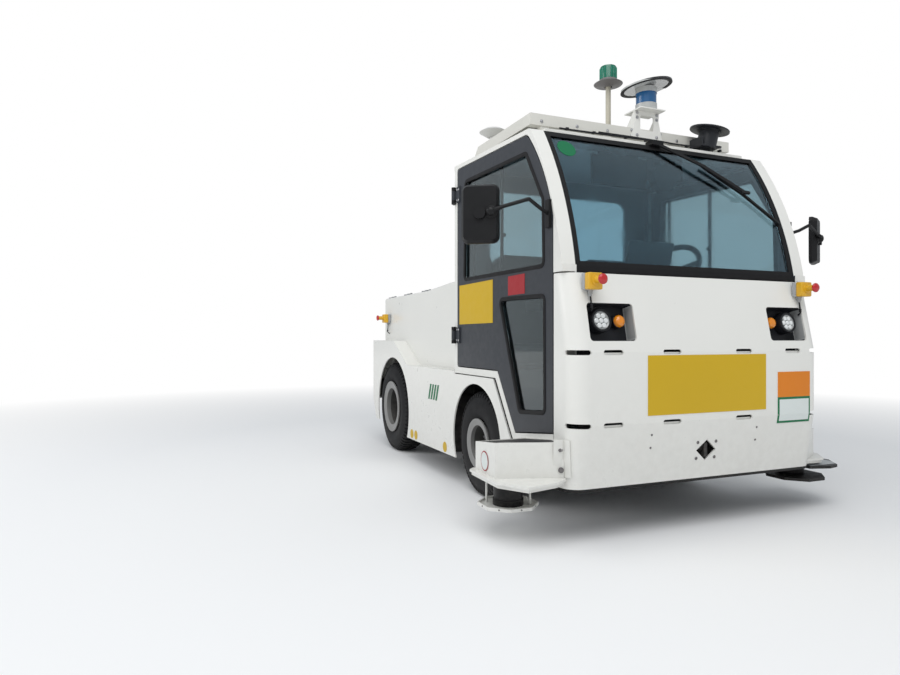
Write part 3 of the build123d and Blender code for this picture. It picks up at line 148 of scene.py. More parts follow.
# %% The floor
FADE_FROM, FADE_TO = 3.0, 7.5
floor_mesh = bpy.data.meshes.new("floor")
floor_mesh.from_pydata([(-30, -30, 0), (30, -30, 0), (30, 30, 0), (-30, 30, 0)], [], [(0, 1, 2, 3)])
floor = bpy.data.objects.new("floor", floor_mesh)
scene.collection.objects.link(floor)
floor_look = bpy.data.materials.new("pale_floor")
floor_look.use_nodes = True
ground, ground_link = floor_look.node_tree.nodes, floor_look.node_tree.links.new
concrete = ground["Principled BSDF"]
concrete.inputs["Base Color"].default_value = (0.90, 0.90, 0.90, 1)
concrete.inputs["Roughness"].default_value = 0.9
concrete.inputs["Specular IOR Level"].default_value = 0.1
spot = ground.new("ShaderNodeTexCoord")
distance = ground.new("ShaderNodeVectorMath")
distance.operation = "LENGTH"
fade = ground.new("ShaderNodeMapRange")
fade.inputs["From Min"].default_value = FADE_FROM
fade.inputs["From Max"].default_value = FADE_TO
plain_white = ground.new("ShaderNodeEmission")
plain_white.inputs["Color"].default_value = (1, 1, 1, 1)
both = ground.new("ShaderNodeMixShader")
ground_link(spot.outputs["Object"], distance.inputs[0])
ground_link(distance.outputs["Value"], fade.inputs["Value"])
ground_link(fade.outputs["Result"], both.inputs[0])
ground_link(concrete.outputs[0], both.inputs[1])
ground_link(plain_white.outputs[0], both.inputs[2])
ground_link(both.outputs[0], ground["Material Output"].inputs[0])
floor_mesh.materials.append(floor_look)
print("floor fades from", FADE_FROM, "to", FADE_TO, "m")

# %% [markdown]
# Paint, rubber and steel look real through what varies in them. An image could hold that, but needs every mesh
# unwrapped. Noise on object coordinates needs no unwrapping and doesn't repeat, so each finish is put together
# from the same few steps: noise, a spread of its values, some maths and a mix of two colours.


# %% The steps of a finish
class Finish:
    """A material that is put together from short steps."""

    def __init__(self, name, rough=0.4, metal=0.0):
        self.mat = bpy.data.materials.new(name)
        self.mat.use_nodes = True
        self.tree = self.mat.node_tree
        self.shader = self.tree.nodes["Principled BSDF"]
        self.shader.inputs["Roughness"].default_value = rough
        self.shader.inputs["Metallic"].default_value = metal
        self.place = self.node("ShaderNodeTexCoord").outputs["Object"]
        self.axes = self.node("ShaderNodeSeparateXYZ")
        self.link(self.place, self.axes.inputs[0])

    def node(self, kind, **values):
        made = self.tree.nodes.new(kind)
        for key, value in values.items():
            setattr(made, key, value)
        return made

    def link(self, a, b):
        self.tree.links.new(a, b)

    def noise(self, scale, detail=3.0, rough=0.5):
        made = self.node("ShaderNodeTexNoise")
        made.inputs["Scale"].default_value = scale
        made.inputs["Detail"].default_value = detail
        made.inputs["Roughness"].default_value = rough
        self.link(self.place, made.inputs["Vector"])
        return made.outputs["Fac"]

    def spread(self, value, low, high, to_low=0.0, to_high=1.0):
        """Stretches the values between low and high to another range, and holds the rest at its ends."""
        made = self.node("ShaderNodeMapRange", clamp=True)
        made.inputs["From Min"].default_value = low
        made.inputs["From Max"].default_value = high
        made.inputs["To Min"].default_value = to_low
        made.inputs["To Max"].default_value = to_high
        self.link(value, made.inputs["Value"])
        return made.outputs["Result"]

    def maths(self, what, a, b=None):
        made = self.node("ShaderNodeMath", operation=what)
        for socket, value in zip(made.inputs, (a, b)):
            if isinstance(value, (int, float)):
                socket.default_value = value
            elif value is not None:
                self.link(value, socket)
        return made.outputs[0]

    def mix(self, share, a, b, way="MIX"):
        """Colour a where share is 0 and b where it is 1."""
        made = self.node("ShaderNodeMix", data_type="RGBA", blend_type=way)
        for socket, value in ((made.inputs[0], share), (made.inputs[6], a), (made.inputs[7], b)):
            if isinstance(value, tuple):
                socket.default_value = (*value[:3], 1)
            elif isinstance(value, float):
                socket.default_value = value
            else:
                self.link(value, socket)
        return made.outputs[2]

    def along(self, axis):
        """A coordinate by its name: X, Y, Z, |X| for either side, or nz for how far a face looks up."""
        if axis == "nz":
            parts = self.node("ShaderNodeSeparateXYZ")
            self.link(self.node("ShaderNodeNewGeometry").outputs["Normal"], parts.inputs[0])
            return parts.outputs[2]
        value = self.axes.outputs["XYZ".index(axis.strip("|"))]
        return self.maths("ABSOLUTE", value) if axis.startswith("|") else value

    def edges(self, radius):
        """1 along sharp edges and 0 on flat parts."""
        bevel = self.node("ShaderNodeBevel", samples=4)
        bevel.inputs["Radius"].default_value = radius
        flat = self.node("ShaderNodeNewGeometry")
        dot = self.node("ShaderNodeVectorMath", operation="DOT_PRODUCT")
        self.link(bevel.outputs[0], dot.inputs[0])
        self.link(flat.outputs["Normal"], dot.inputs[1])
        return self.spread(dot.outputs["Value"], 0.985, 0.88)


print("steps:", [name for name in vars(Finish) if not name.startswith("_")])

# %% [markdown]
# Nearly every surface of the machine can be told by one recipe. Its colour drifts slowly over a sheet, its
# gloss varies where hands and rain have been, dust gathers low down, edges rub through, and the grain of the
# lacquer or the moulding shows as bump. A node that has two colours, such as a lined cab, could be cut in two,
# but zones by coordinate paint it as a sprayer would, up to a masked line.

# %% The usual finish
DUST = (0.34, 0.31, 0.27)
RUB_WIDTH = 0.004
GRAIN_DEPTH = 0.0006
COAT_ROUGH = 0.08


def zone_mask(f, limits):
    """1 where every coordinate lies between its limits."""
    inside = None
    for axis, (low, high) in limits.items():
        value = f.along(axis)
        band = f.maths("MULTIPLY", f.maths("GREATER_THAN", value, low), f.maths("LESS_THAN", value, high))
        inside = band if inside is None else f.maths("MULTIPLY", inside, band)
    return inside


def surface(name, colour, rough=0.4, metal=0.0, drift=0.06, dust=0.25, worn=None, grain=0.05,
            grain_scale=600.0, zones=(), coat=0.0, shine=0.5, dust_colour=DUST, dust_top=0.75):
    """The usual finish. zones are (colour, {axis: (low, high)}) in metres, worn is (amount, colour)."""
    f = Finish(name, rough, metal)
    f.shader.inputs["Specular IOR Level"].default_value = shine
    if coat:
        f.shader.inputs["Coat Weight"].default_value = coat
        f.shader.inputs["Coat Roughness"].default_value = COAT_ROUGH
    base = tuple(colour)
    for other, limits in zones:
        base = f.mix(zone_mask(f, limits), base, tuple(other))
    wide, fine = f.noise(1.7, 4.0, 0.55), f.noise(28.0, 5.0, 0.6)
    darker = f.mix(f.spread(wide, 0.35, 0.70), (1 - drift,) * 3, (1.0, 1.0, 1.0))
    out = f.mix(1.0, base, darker, "MULTIPLY")
    if worn:
        amount, worn_colour = worn
        mask = f.maths("MULTIPLY", f.edges(RUB_WIDTH), f.spread(fine, 0.45, 0.62, 0.0, amount))
        out = f.mix(mask, out, tuple(worn_colour))
    patches = f.maths("ADD", wide, fine)
    if dust:
        low_down = f.spread(f.axes.outputs["Z"], dust_top, 0.05)
        patch = f.maths("MULTIPLY", low_down, f.spread(patches, 0.8, 1.25, 0.15, 1.0))
        out = f.mix(f.maths("MULTIPLY", patch, dust), out, dust_colour)
    f.link(out, f.shader.inputs["Base Color"])
    gloss = f.spread(patches, 0.75, 1.3, max(rough - 0.07, 0.02), min(rough + 0.12, 1.0))
    f.link(gloss, f.shader.inputs["Roughness"])
    if grain:
        bump = f.node("ShaderNodeBump")
        bump.inputs["Strength"].default_value = grain
        bump.inputs["Distance"].default_value = GRAIN_DEPTH
        f.link(f.noise(grain_scale, 2.0, 0.5), bump.inputs["Height"])
        f.link(bump.outputs[0], f.shader.inputs["Normal"])
    return f.mat


print("zones can follow X, Y, Z, |X| and nz")

# %% [markdown]
# The cab's panes are tinted safety glass. A see-through mix would be quicker, but has no thickness and bends
# nothing, so the panes are true glass, with wiped smears in the gloss and a tint in what they mirror.


# %% Glass
def clear(name, colour, ior, sheen, rough=0.03, smudge=0.08):
    """Tinted glass. sheen is the colour of its reflections."""
    f = Finish(name, rough)
    f.shader.inputs["Specular Tint"].default_value = (*sheen, 1)
    f.shader.inputs["Transmission Weight"].default_value = 1.0
    f.shader.inputs["IOR"].default_value = ior
    f.link(f.spread(f.noise(6.0, 6.0, 0.7), 0.45, 0.75, rough, rough + smudge), f.shader.inputs["Roughness"])
    tint = f.mix(f.spread(f.noise(2.2), 0.3, 0.7), tuple(c * 0.94 for c in colour), tuple(colour))
    f.link(tint, f.shader.inputs["Base Color"])
    return f.mat


glass = clear("tinted_glass", (0.37, 0.54, 0.62), 1.65, (0.62, 0.84, 1.0))
door_glass = clear("door_glass", (0.45, 0.53, 0.54), 1.6, (0.85, 0.95, 1.0))
print("glass:", glass.name, door_glass.name)

# %% [markdown]
# The body is sprayed a warm white, with darker metal showing where edges rub. Inside, the cab is lined dark,
# and the roof's underside has a pale headliner. The doors are slate grey, and the frame below is plain black.

# %% Paints
WHITE = (0.80, 0.795, 0.755)
LINING = (0.085, 0.097, 0.115)
HEADLINER = (0.56, 0.60, 0.66)
EDGE_WEAR = (0.35, (0.50, 0.49, 0.46))
CAB_INSIDE = {"|X|": (-1.0, 0.6325), "Y": (at(0.05), at(1.2415)), "Z": (0.6, 1.86)}
UNDER_ROOF = {"nz": (-2.0, -0.6), "|X|": (-1.0, 0.66)}
white_paint = surface("white_paint", WHITE, 0.34, drift=0.035, dust=0.22, worn=EDGE_WEAR, coat=0.25)
cab_paint = surface("cab_paint", WHITE, 0.34, drift=0.035, dust=0.1, worn=EDGE_WEAR, coat=0.25,
                    zones=[(LINING, CAB_INSIDE)])
roof_paint = surface("roof_paint", WHITE, 0.36, drift=0.03, dust=0.0, worn=EDGE_WEAR,
                     zones=[(HEADLINER, UNDER_ROOF)])
rack_paint = surface("rack_paint", (0.68, 0.67, 0.62), 0.45, dust=0.0)
door_paint = surface("door_paint", (0.034, 0.038, 0.046), 0.42, drift=0.1, dust=0.1, shine=0.35,
                     worn=(0.5, (0.14, 0.14, 0.145)))
black_paint = surface("black_frame_paint", (0.016, 0.016, 0.018), 0.55, dust=0.35, shine=0.3,
                      worn=(0.6, (0.12, 0.10, 0.09)))
lid_paint = surface("lid_paint", (0.030, 0.030, 0.033), 0.6, dust=0.25, shine=0.3,
                    worn=(0.5, (0.2, 0.19, 0.18)))
tub_paint = surface("tub_paint", (0.05, 0.05, 0.055), 0.55, dust=0.3,
                    zones=[(WHITE, {"|X|": (BODY_SIDE - 0.0015, 2.0)})])
print("paints ready:", len(bpy.data.materials) - 1)

# %% [markdown]
# Bare metal shows on the axles, the steering and the wheels. A rim is painted grey, and its disc lies so deep
# in the barrel that it is in shade, which a zone by the distance from the middle paints nearly black as painted
# shade.

# %% Metals
SHADED_RIM_DISC = {"|X|": (0.0, 0.662)}
cast_metal = surface("cast_metal", (0.05, 0.05, 0.052), 0.62, 0.4, drift=0.2, dust=0.5, grain=0.5,
                     grain_scale=250)
bare_steel = surface("bare_steel", (0.52, 0.52, 0.53), 0.34, 1.0, drift=0.12, dust=0.1, grain=0.1)
# The disc zone is painted shade: the disc deep in the barrel is coloured nearly black.
rim_paint = surface("rim_paint", (0.26, 0.26, 0.255), 0.42, 0.2, drift=0.12, dust=0.3,
                    worn=(0.7, (0.12, 0.11, 0.10)), zones=[((0.055, 0.055, 0.055), SHADED_RIM_DISC)])
print("metals:", cast_metal.name, bare_steel.name, rim_paint.name)

# %% [markdown]
# Plastics and rubber are black without being empty: a little grain, little gloss and some dust show on them.
# The spinning scanner has pale rings and a blue window, and the rear lamps have three colours. Each is a single
# node, so its bands are zones by height.

# %% Plastics, rubber and lamps
PALE_EDGE, RING = (0.40, 0.41, 0.41), (0.50, 0.51, 0.50)
RECESS_ENDS = [{"|X|": (0.3800, 0.3875)}, {"|X|": (0.6125, 0.6200)}]
LEFT_GUARD_TOP = {"X": (0.750, 0.962), "Y": (at(0.092), at(0.335)), "Z": (0.2125, 0.216), "nz": (0.5, 2.0)}
BELOW_WINDOW, ABOVE_WINDOW = {"Z": (0.0, 2.057)}, {"Z": (2.113, 2.1415)}
DISC_UNDER, DISC_TOP = {"Z": (2.1415, 3.0), "nz": (-2.0, -0.3)}, {"Z": (2.1415, 3.0), "nz": (-0.3, 2.0)}
AMBER_BAND, WHITE_BAND = {"Z": (0.590, 0.650)}, {"Z": (0.0, 0.590)}
black_plastic = surface("black_plastic", (0.009, 0.009, 0.010), 0.45, dust=0.15, grain=0.4, grain_scale=900,
                        shine=0.25)
scanner_plastic = surface("scanner_plastic", (0.007, 0.007, 0.008), 0.4, dust=0.08, grain=0.2, shine=0.25,
                          zones=[((0.42, 0.44, 0.45), LEFT_GUARD_TOP)])
unit_black = surface("unit_black", (0.006, 0.006, 0.007), 0.6, dust=0.0, shine=0.2)
rubber = surface("rubber", (0.009, 0.009, 0.010), 0.62, dust=0.08, grain=0.3, shine=0.25)
recess_plastic = surface("recess_plastic", (0.014, 0.015, 0.019), 0.4, dust=0.05, shine=0.3,
                         zones=[(PALE_EDGE, end) for end in RECESS_ENDS])
lidar_blue = surface("lidar_blue", (0.012, 0.115, 0.30), 0.22, dust=0.0, coat=0.4,
                     zones=[(RING, BELOW_WINDOW), (RING, ABOVE_WINDOW), ((0.30, 0.31, 0.31), DISC_UNDER),
                            ((0.030, 0.030, 0.032), DISC_TOP)])
lidar_dark = surface("lidar_dark", (0.022, 0.024, 0.028), 0.35, dust=0.0, shine=0.35,
                     worn=(0.4, (0.2, 0.2, 0.2)))
white_plastic = surface("white_plastic", (0.62, 0.62, 0.60), 0.4, dust=0.0)
lamp_red = surface("lamp_red", (0.42, 0.015, 0.015), 0.2, dust=0.1, coat=0.5, grain=0.0,
                   zones=[((0.62, 0.20, 0.012), AMBER_BAND), ((0.55, 0.55, 0.54), WHITE_BAND)])
print("finishes ready:", len(bpy.data.materials) - 1)

# %% [markdown]
# Each packed node gets the finish of its real piece. The nodes keep their meshes, and only their material slot
# is filled, so that the part and the picture share one shape.

# %% Finishes of the packed nodes
NODE_FINISH = {
    white_paint: ["battery_lid", "body_side_left", "body_side_right", "corner_boxes", "front_panel",
                  "rear_hood", "roof_lidar_bracket"],
    cab_paint: ["cab_frame"],
    roof_paint: ["roof"],
    rack_paint: ["roof_rack"],
    door_paint: ["door_left", "door_right"],
    black_paint: ["chassis_frame", "tow_hitch", "traction_battery"],
    lid_paint: ["corner_box_lids"],
    tub_paint: ["cab_tub"],
    cast_metal: ["front_axle", "rear_axle", "knuckle_left", "knuckle_right"],
    bare_steel: ["tie_rod", "lid_hinges", "steering_column"],
    rim_paint: [n for n in nodes if n.endswith("_rim")],
    rubber: ["windscreen_seal", "steering_wheel"] + [n for n in nodes if n.endswith("_tyre")],
    black_plastic: ["dashboard", "mirror_left", "mirror_right", "wiper", "seats", "door_hinges",
                    "stop_buttons"],
    scanner_plastic: ["corner_lidars"],
    unit_black: ["header_units"],
    recess_plastic: ["front_lamps"],
    lamp_red: ["rear_lamps"],
    lidar_blue: ["roof_lidar", "beacon"],
    lidar_dark: ["side_lidar"],
    white_plastic: ["gnss_antenna"],
    glass: ["cab_glass"],
    door_glass: ["door_glass_left", "door_glass_right"],
}
for look, names in NODE_FINISH.items():
    for name in names:
        mesh = nodes[name].data
        mesh.materials.clear()
        mesh.materials.append(look)
print("nodes finished:", sum(len(v) for v in NODE_FINISH.values()), "of", len(nodes))

# %% [markdown]
# The trim is made of few kinds of shape: rounded boxes, turned parts, plates cut from an outline, and sections
# or round bars swept along a path. Operators in the scene would need a selection each time, so one helper
# gathers faces in memory, and its last call turns them into one piece that rides on a body.


# %% The shaping tools
class Shape:
    """Faces that are gathered and then made into one piece."""

    def __init__(self):
        self.bm = bmesh.new()

    def take(self, part, place):
        part.transform(place)
        bmesh.ops.recalc_face_normals(part, faces=part.faces)
        mesh = bpy.data.meshes.new("passing")
        part.to_mesh(mesh)
        part.free()
        self.bm.from_mesh(mesh)
        bpy.data.meshes.remove(mesh)
        return self

    def box(self, centre, size, rounding=0.0, steps=3, turn=None):
        part = bmesh.new()
        bmesh.ops.create_cube(part, size=1.0)
        bmesh.ops.scale(part, vec=size, verts=part.verts)
        if rounding:
            bmesh.ops.bevel(part, geom=part.edges[:], offset=rounding, segments=steps, profile=0.5,
                            affect="EDGES", clamp_overlap=True)
        return self.take(part, Matrix.Translation(centre) @ (turn or Matrix()))

    def turned(self, profile, place, axis, steps=32):
        """Turns (radius, height) points round an axis that starts at a place."""
        part = bmesh.new()
        rings = []
        for radius, height in profile:
            around = disc(radius, steps) if radius > 1e-6 else [(0, 0)]
            rings.append([part.verts.new((x, y, height)) for x, y in around])
        for low, high in zip(rings, rings[1:]):
            for i in range(steps):
                j = (i + 1) % steps
                if len(low) == 1 and len(high) > 1:
                    part.faces.new((low[0], high[i], high[j]))
                elif len(high) == 1 and len(low) > 1:
                    part.faces.new((low[i], low[j], high[0]))
                elif len(low) > 1:
                    part.faces.new((low[i], low[j], high[j], high[i]))
        return self.take(part, Matrix.Translation(place) @ facing(axis))

    def plate(self, outline, thick, place=Matrix()):
        """A flat plate with the (x, y) outline, from 0 up to its thickness along its own z."""
        part = bmesh.new()
        low = [part.verts.new((x, y, 0)) for x, y in outline]
        high = [part.verts.new((x, y, thick)) for x, y in outline]
        part.faces.new(low)
        part.faces.new(high)
        for i in range(len(outline)):
            j = (i + 1) % len(outline)
            part.faces.new((low[i], low[j], high[j], high[i]))
        return self.take(part, place)

    def swept(self, path, section, up, closed=False):
        """A (side, up) section along a path, with one direction kept as its up."""
        part = bmesh.new()
        up = Vector(up).normalized()
        points = [Vector(p) for p in path]
        rings = []
        for i, point in enumerate(points):
            before = points[i - 1] if (i or closed) else point
            after = points[(i + 1) % len(points)] if (i + 1 < len(points) or closed) else point
            along = (after - before).normalized()
            side = along.cross(up).normalized()
            over = side.cross(along).normalized()
            rings.append([part.verts.new(point + side * a + over * b) for a, b in section])
        count = len(section)
        pairs = list(zip(rings, rings[1:])) + ([(rings[-1], rings[0])] if closed else [])
        for low, high in pairs:
            for i in range(count):
                j = (i + 1) % count
                part.faces.new((low[i], low[j], high[j], high[i]))
        if not closed:
            part.faces.new(rings[0])
            part.faces.new(rings[-1])
        return self.take(part, Matrix())

    def bar(self, path, radius, steps=10, bend=0.012):
        """A round bar or hose along a path whose corners are eased."""
        return self.swept(eased(path, bend), disc(radius, steps), (0.13, 0.29, 0.95))

    def finish(self, name, look, body, slot=None, replaces=(), sharp=35):
        mesh = bpy.data.meshes.new(name)
        self.bm.to_mesh(mesh)
        self.bm.free()
        mesh.materials.append(look)
        return ride(name, mesh, body, replaces, sharp)


def ride(name, mesh, body, replaces=(), sharp=35):
    """Makes a piece of a mesh and hangs it on its body. Edges above the sharp angle stay crisp."""
    made = bpy.data.objects.new(name, mesh)
    scene.collection.objects.link(made)
    mesh.shade_smooth()
    mesh.set_sharp_from_angle(angle=math.radians(sharp))
    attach(made, body)
    if replaces:
        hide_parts(*replaces)
    return made


print("shapes:", [name for name in vars(Shape) if not name.startswith("_")])

# %% [markdown]
# Corners of sheet metal and rubber are never points. Typed arcs would be long lists, so each outline is given
# by its corners only, and a quadratic curve rounds them.


# %% Outlines and paths
def curve(start, corner, end, steps):
    """Points from start to end, pulled towards a corner."""
    shares = [i / steps for i in range(steps + 1)]
    return [start * (1 - t) ** 2 + corner * 2 * t * (1 - t) + end * t * t for t in shares]


def eased(path, bend, steps=5):
    """The path with its corners rounded."""
    points = [Vector(p) for p in path]
    out = [points[0]]
    for before, here, after in zip(points, points[1:], points[2:]):
        a, b = (before - here), (after - here)
        reach = min(bend, a.length * 0.45, b.length * 0.45)
        out += curve(here + a.normalized() * reach, here, here + b.normalized() * reach, steps)
    return out + [points[-1]]


def rounded(points, radius, steps=6):
    """A closed (x, y) outline with its corners rounded."""
    points = [Vector(p) for p in points]
    out = []
    for i, here in enumerate(points):
        a, b = points[i - 1] - here, points[(i + 1) % len(points)] - here
        reach = radius / math.tan(a.angle(b) / 2)
        out += curve(here + a.normalized() * reach, here, here + b.normalized() * reach, steps)
    return [tuple(point) for point in out]


def rectangle(x0, x1, y0, y1):
    return [(x0, y0), (x1, y0), (x1, y1), (x0, y1)]


def oblong(wide, high, radius, steps=6):
    """A rectangle round the middle, with rounded corners."""
    return rounded(rectangle(-wide / 2, wide / 2, -high / 2, high / 2), radius, steps)


def disc(radius, steps=32, x=0.0, y=0.0):
    angles = [2 * math.pi * i / steps for i in range(steps)]
    return [(x + radius * math.cos(a), y + radius * math.sin(a)) for a in angles]


def bow(radius, degrees, x=0.0, y=0.0):
    """Points on a circle at the given degrees."""
    return [(x + radius * math.cos(math.radians(d)), y + radius * math.sin(math.radians(d))) for d in degrees]


print("a disc of 12 points:", [tuple(round(v, 2) for v in p) for p in disc(1.0, 12)][:3])

# %% [markdown]
# A foil or a button is drawn flat and then stood on a wall. Turning each by hand invites mistakes with the
# left side, so three frames do it: one on the side walls, one on the front, and one that only aims a z axis.


# %% Frames on the walls
def frame_of(x_way, y_way, z_way, place=(0, 0, 0)):
    """The matrix whose x, y and z point along three directions."""
    return Matrix.Translation(place) @ Matrix((x_way, y_way, z_way)).transposed().to_4x4()


def facing(axis, roll=0.0):
    """A turn that lays the z axis along a direction."""
    return Vector(axis).to_track_quat("Z", "Y").to_matrix().to_4x4() @ Matrix.Rotation(roll, 4, "Z")


def wall_place(side, x, lift=0.0):
    """A frame on the side wall: its x runs to the rear, its y up and its z outwards."""
    return frame_of((0, 1, 0), (0, 0, 1), (side, 0, 0), (side * (x + lift), at(0.0), 0))


def front_place(station, z, lean=0.0, x=0.0):
    """A frame on the front: its x runs to the machine's left, its y up and its z forwards."""
    return frame_of((1, 0, 0), (0, 0, 1), (0, -1, 0), (x, at(station), z)) @ Matrix.Rotation(lean, 4, "X")


print("the right wall faces", tuple(wall_place(-1, BODY_SIDE).to_3x3() @ Vector((0, 0, 1))))

# %% [markdown]
# Bolts, nuts, tread blocks, ribs, clips and switches repeat. A loop could copy each mesh, but a node group
# says it once: it sets a template on every spot, turns it as the spot says, gives it a chance twist from a
# fixed seed, and joins the copies into one plain mesh.


# %% The repeater
def attribute_node(tree, name, kind):
    made = tree.nodes.new("GeometryNodeInputNamedAttribute")
    made.data_type = kind
    made.inputs["Name"].default_value = name
    return made.outputs["Attribute"]


def make_repeater():
    tree = bpy.data.node_groups.new("set_on_spots", "GeometryNodeTree")
    face = tree.interface
    face.new_socket("Spots", in_out="INPUT", socket_type="NodeSocketGeometry")
    kinds = {"Template": "NodeSocketObject", "Look": "NodeSocketMaterial", "Twist": "NodeSocketFloat",
             "Seed": "NodeSocketInt"}
    sockets = {name: face.new_socket(name, in_out="INPUT", socket_type=kind).identifier
               for name, kind in kinds.items()}
    face.new_socket("Copies", in_out="OUTPUT", socket_type="NodeSocketGeometry")
    new, link = tree.nodes.new, tree.links.new
    start, end = new("NodeGroupInput"), new("NodeGroupOutput")
    part = new("GeometryNodeObjectInfo")
    link(start.outputs["Template"], part.inputs["Object"])
    aim = new("FunctionNodeEulerToRotation")
    link(attribute_node(tree, "turn", "FLOAT_VECTOR"), aim.inputs[0])
    least = new("ShaderNodeMath")
    least.operation = "MULTIPLY"
    least.inputs[1].default_value = -1.0
    link(start.outputs["Twist"], least.inputs[0])
    chance = new("FunctionNodeRandomValue")
    chance.data_type = "FLOAT"
    link(least.outputs[0], chance.inputs[2])
    link(start.outputs["Twist"], chance.inputs[3])
    link(start.outputs["Seed"], chance.inputs["Seed"])
    spin = new("ShaderNodeCombineXYZ")
    link(chance.outputs[1], spin.inputs["Z"])
    spin_turn = new("FunctionNodeEulerToRotation")
    link(spin.outputs[0], spin_turn.inputs[0])
    both_turns = new("FunctionNodeRotateRotation")
    both_turns.rotation_space = "LOCAL"
    link(aim.outputs[0], both_turns.inputs[0])
    link(spin_turn.outputs[0], both_turns.inputs[1])
    copies = new("GeometryNodeInstanceOnPoints")
    link(start.outputs["Spots"], copies.inputs["Points"])
    link(part.outputs["Geometry"], copies.inputs["Instance"])
    link(both_turns.outputs[0], copies.inputs["Rotation"])
    link(attribute_node(tree, "size", "FLOAT"), copies.inputs["Scale"])
    real = new("GeometryNodeRealizeInstances")
    link(copies.outputs[0], real.inputs[0])
    paint = new("GeometryNodeSetMaterial")
    link(real.outputs[0], paint.inputs["Geometry"])
    link(start.outputs["Look"], paint.inputs["Material"])
    link(paint.outputs[0], end.inputs[0])
    return tree, sockets


REPEATER, SOCKETS = make_repeater()
print("repeater inputs:", list(SOCKETS))

# %% [markdown]
# The group is used through one function. Each spot has a place, a direction or a whole turn, a size and, if it
# matters, a roll. The modifier's inputs are set before the first evaluation, and the result is a plain mesh,
# so nothing live is left on the piece.

# %% Using the repeater
TEMPLATES = []


def template(shape, name):
    """An object that is only copied from. It is removed at the end."""
    mesh = bpy.data.meshes.new(name)
    shape.bm.to_mesh(mesh)
    shape.bm.free()
    made = bpy.data.objects.new(name, mesh)
    scene.collection.objects.link(made)
    TEMPLATES.append(made)
    return made


def repeat(name, part, spots, look, body, twist=0.0, seed=3, sharp=35):
    """Sets the template on spots of (place, turn or direction, size, roll) and makes one plain piece."""
    mesh = bpy.data.meshes.new(name + "_spots")
    mesh.from_pydata([tuple(s[0]) for s in spots], [], [])
    mesh.attributes.new("turn", "FLOAT_VECTOR", "POINT")
    mesh.attributes.new("size", "FLOAT", "POINT")
    turns, sizes = mesh.attributes["turn"], mesh.attributes["size"]
    for i, (_, way, size, *roll) in enumerate(spots):
        turn = way if isinstance(way, Matrix) else facing(way, *roll)
        turns.data[i].vector = tuple(turn.to_euler())
        sizes.data[i].value = size
    holder = bpy.data.objects.new(name + "_spots", mesh)
    scene.collection.objects.link(holder)
    steps = holder.modifiers.new("set_on_spots", "NODES")
    steps.node_group = REPEATER
    for key, value in (("Template", part), ("Look", look), ("Twist", twist), ("Seed", seed)):
        steps[SOCKETS[key]] = value
    ready = holder.evaluated_get(bpy.context.evaluated_depsgraph_get())
    plain = bpy.data.meshes.new_from_object(ready)
    plain.name = name
    bpy.data.objects.remove(holder)
    for attribute in ("turn", "size"):
        if attribute in plain.attributes:
            plain.attributes.remove(plain.attributes[attribute])
    return ride(name, plain, body, sharp=sharp)


UP = (0, 0, 1)
ORIGIN = (0, 0, 0)
bolt_part = template(Shape().turned([(1.5, 0), (1.5, 0.16), (1.42, 0.2), (0, 0.2)], ORIGIN, UP, 16)
                     .turned([(1.0, 0.2), (1.0, 0.74), (0.86, 0.86), (0, 0.86)], ORIGIN, UP, 6), "bolt")
screw_part = template(Shape().turned([(1.0, 0), (0.97, 0.2), (0.74, 0.42), (0.42, 0.5), (0.4, 0.22),
                                      (0, 0.22)], ORIGIN, UP, 14), "screw")
nut_part = template(Shape().turned([(1.35, -0.5), (1.35, 0.1), (1.15, 0.22), (1.0, 0.22)], ORIGIN, UP, 12)
                    .turned([(1.0, 0.2), (1.0, 1.0), (0.84, 1.14), (0.5, 1.14)], ORIGIN, UP, 6)
                    .turned([(0.5, 0.2), (0.5, 1.5), (0.42, 1.6), (0, 1.6)], ORIGIN, UP, 10), "nut")
print("templates:", [t.name for t in TEMPLATES])

# %% [markdown]
# The tyres are industrial pneumatics: a bulged wall with a bead at the rim, grooves round the tread, and
# blocks that run over the shoulder. The wall is one turned profile. The blocks could be a bump in the finish,
# but they show at the tyre's edge, so they are real, and the repeater sets them round the wheel.

# %% The shape of a tyre
TREAD_DEEP = 0.011
SHOULDER, SHOULDER_END = 0.036, 0.011


def tyre_profile(radius, half, rim):
    """(radius, offset) points across the tyre, from one bead over the tread to the other."""
    base = radius - TREAD_DEEP
    bulge = rim + (radius - rim) * 0.45
    outer = [(rim - 0.004, half - 0.026), (rim + 0.004, half - 0.010), (rim + 0.012, half - 0.010),
             (rim + 0.016, half - 0.006), (bulge - 0.02, half - 0.001), (bulge, half),
             (bulge + 0.02, half - 0.002), (bulge + 0.028, half - 0.007), (base - 0.026, half - 0.010),
             (base - 0.008, half - 0.022), (base, half - SHOULDER), (base, 0.026), (base - 0.009, 0.023),
             (base - 0.009, 0.013), (base, 0.010), (base, 0.0)]
    return outer + [(r, -offset) for r, offset in reversed(outer[:-1])]


def tread_block(half):
    """A bar across the tread, its end that runs down over the shoulder, and a bar nearer the middle."""
    edge, end = half - SHOULDER, half - SHOULDER_END
    block = Shape().plate([(-0.011, half - 0.082), (0.008, half - 0.082), (0.011, edge), (-0.008, edge)],
                          TREAD_DEEP)
    over = bmesh.new()
    points = [over.verts.new(v) for v in ((-0.008, edge, 0.0), (0.011, edge, 0.0), (0.011, edge, TREAD_DEEP),
                                          (-0.008, edge, TREAD_DEEP), (-0.008, end, -0.020),
                                          (0.011, end, -0.020), (0.011, end - 0.005, -0.002),
                                          (-0.008, end - 0.005, -0.002))]
    for sides in ((0, 1, 5, 4), (3, 2, 6, 7), (4, 5, 6, 7), (0, 3, 7, 4), (1, 2, 6, 5)):
        over.faces.new([points[i] for i in sides])
    block.take(over, Matrix())
    return block.plate([(-0.012, 0.024), (0.005, 0.024), (0.012, half - 0.090), (-0.005, half - 0.090)],
                       0.0105)


print("tread", round(TREAD_DEEP * 1000), "mm deep")

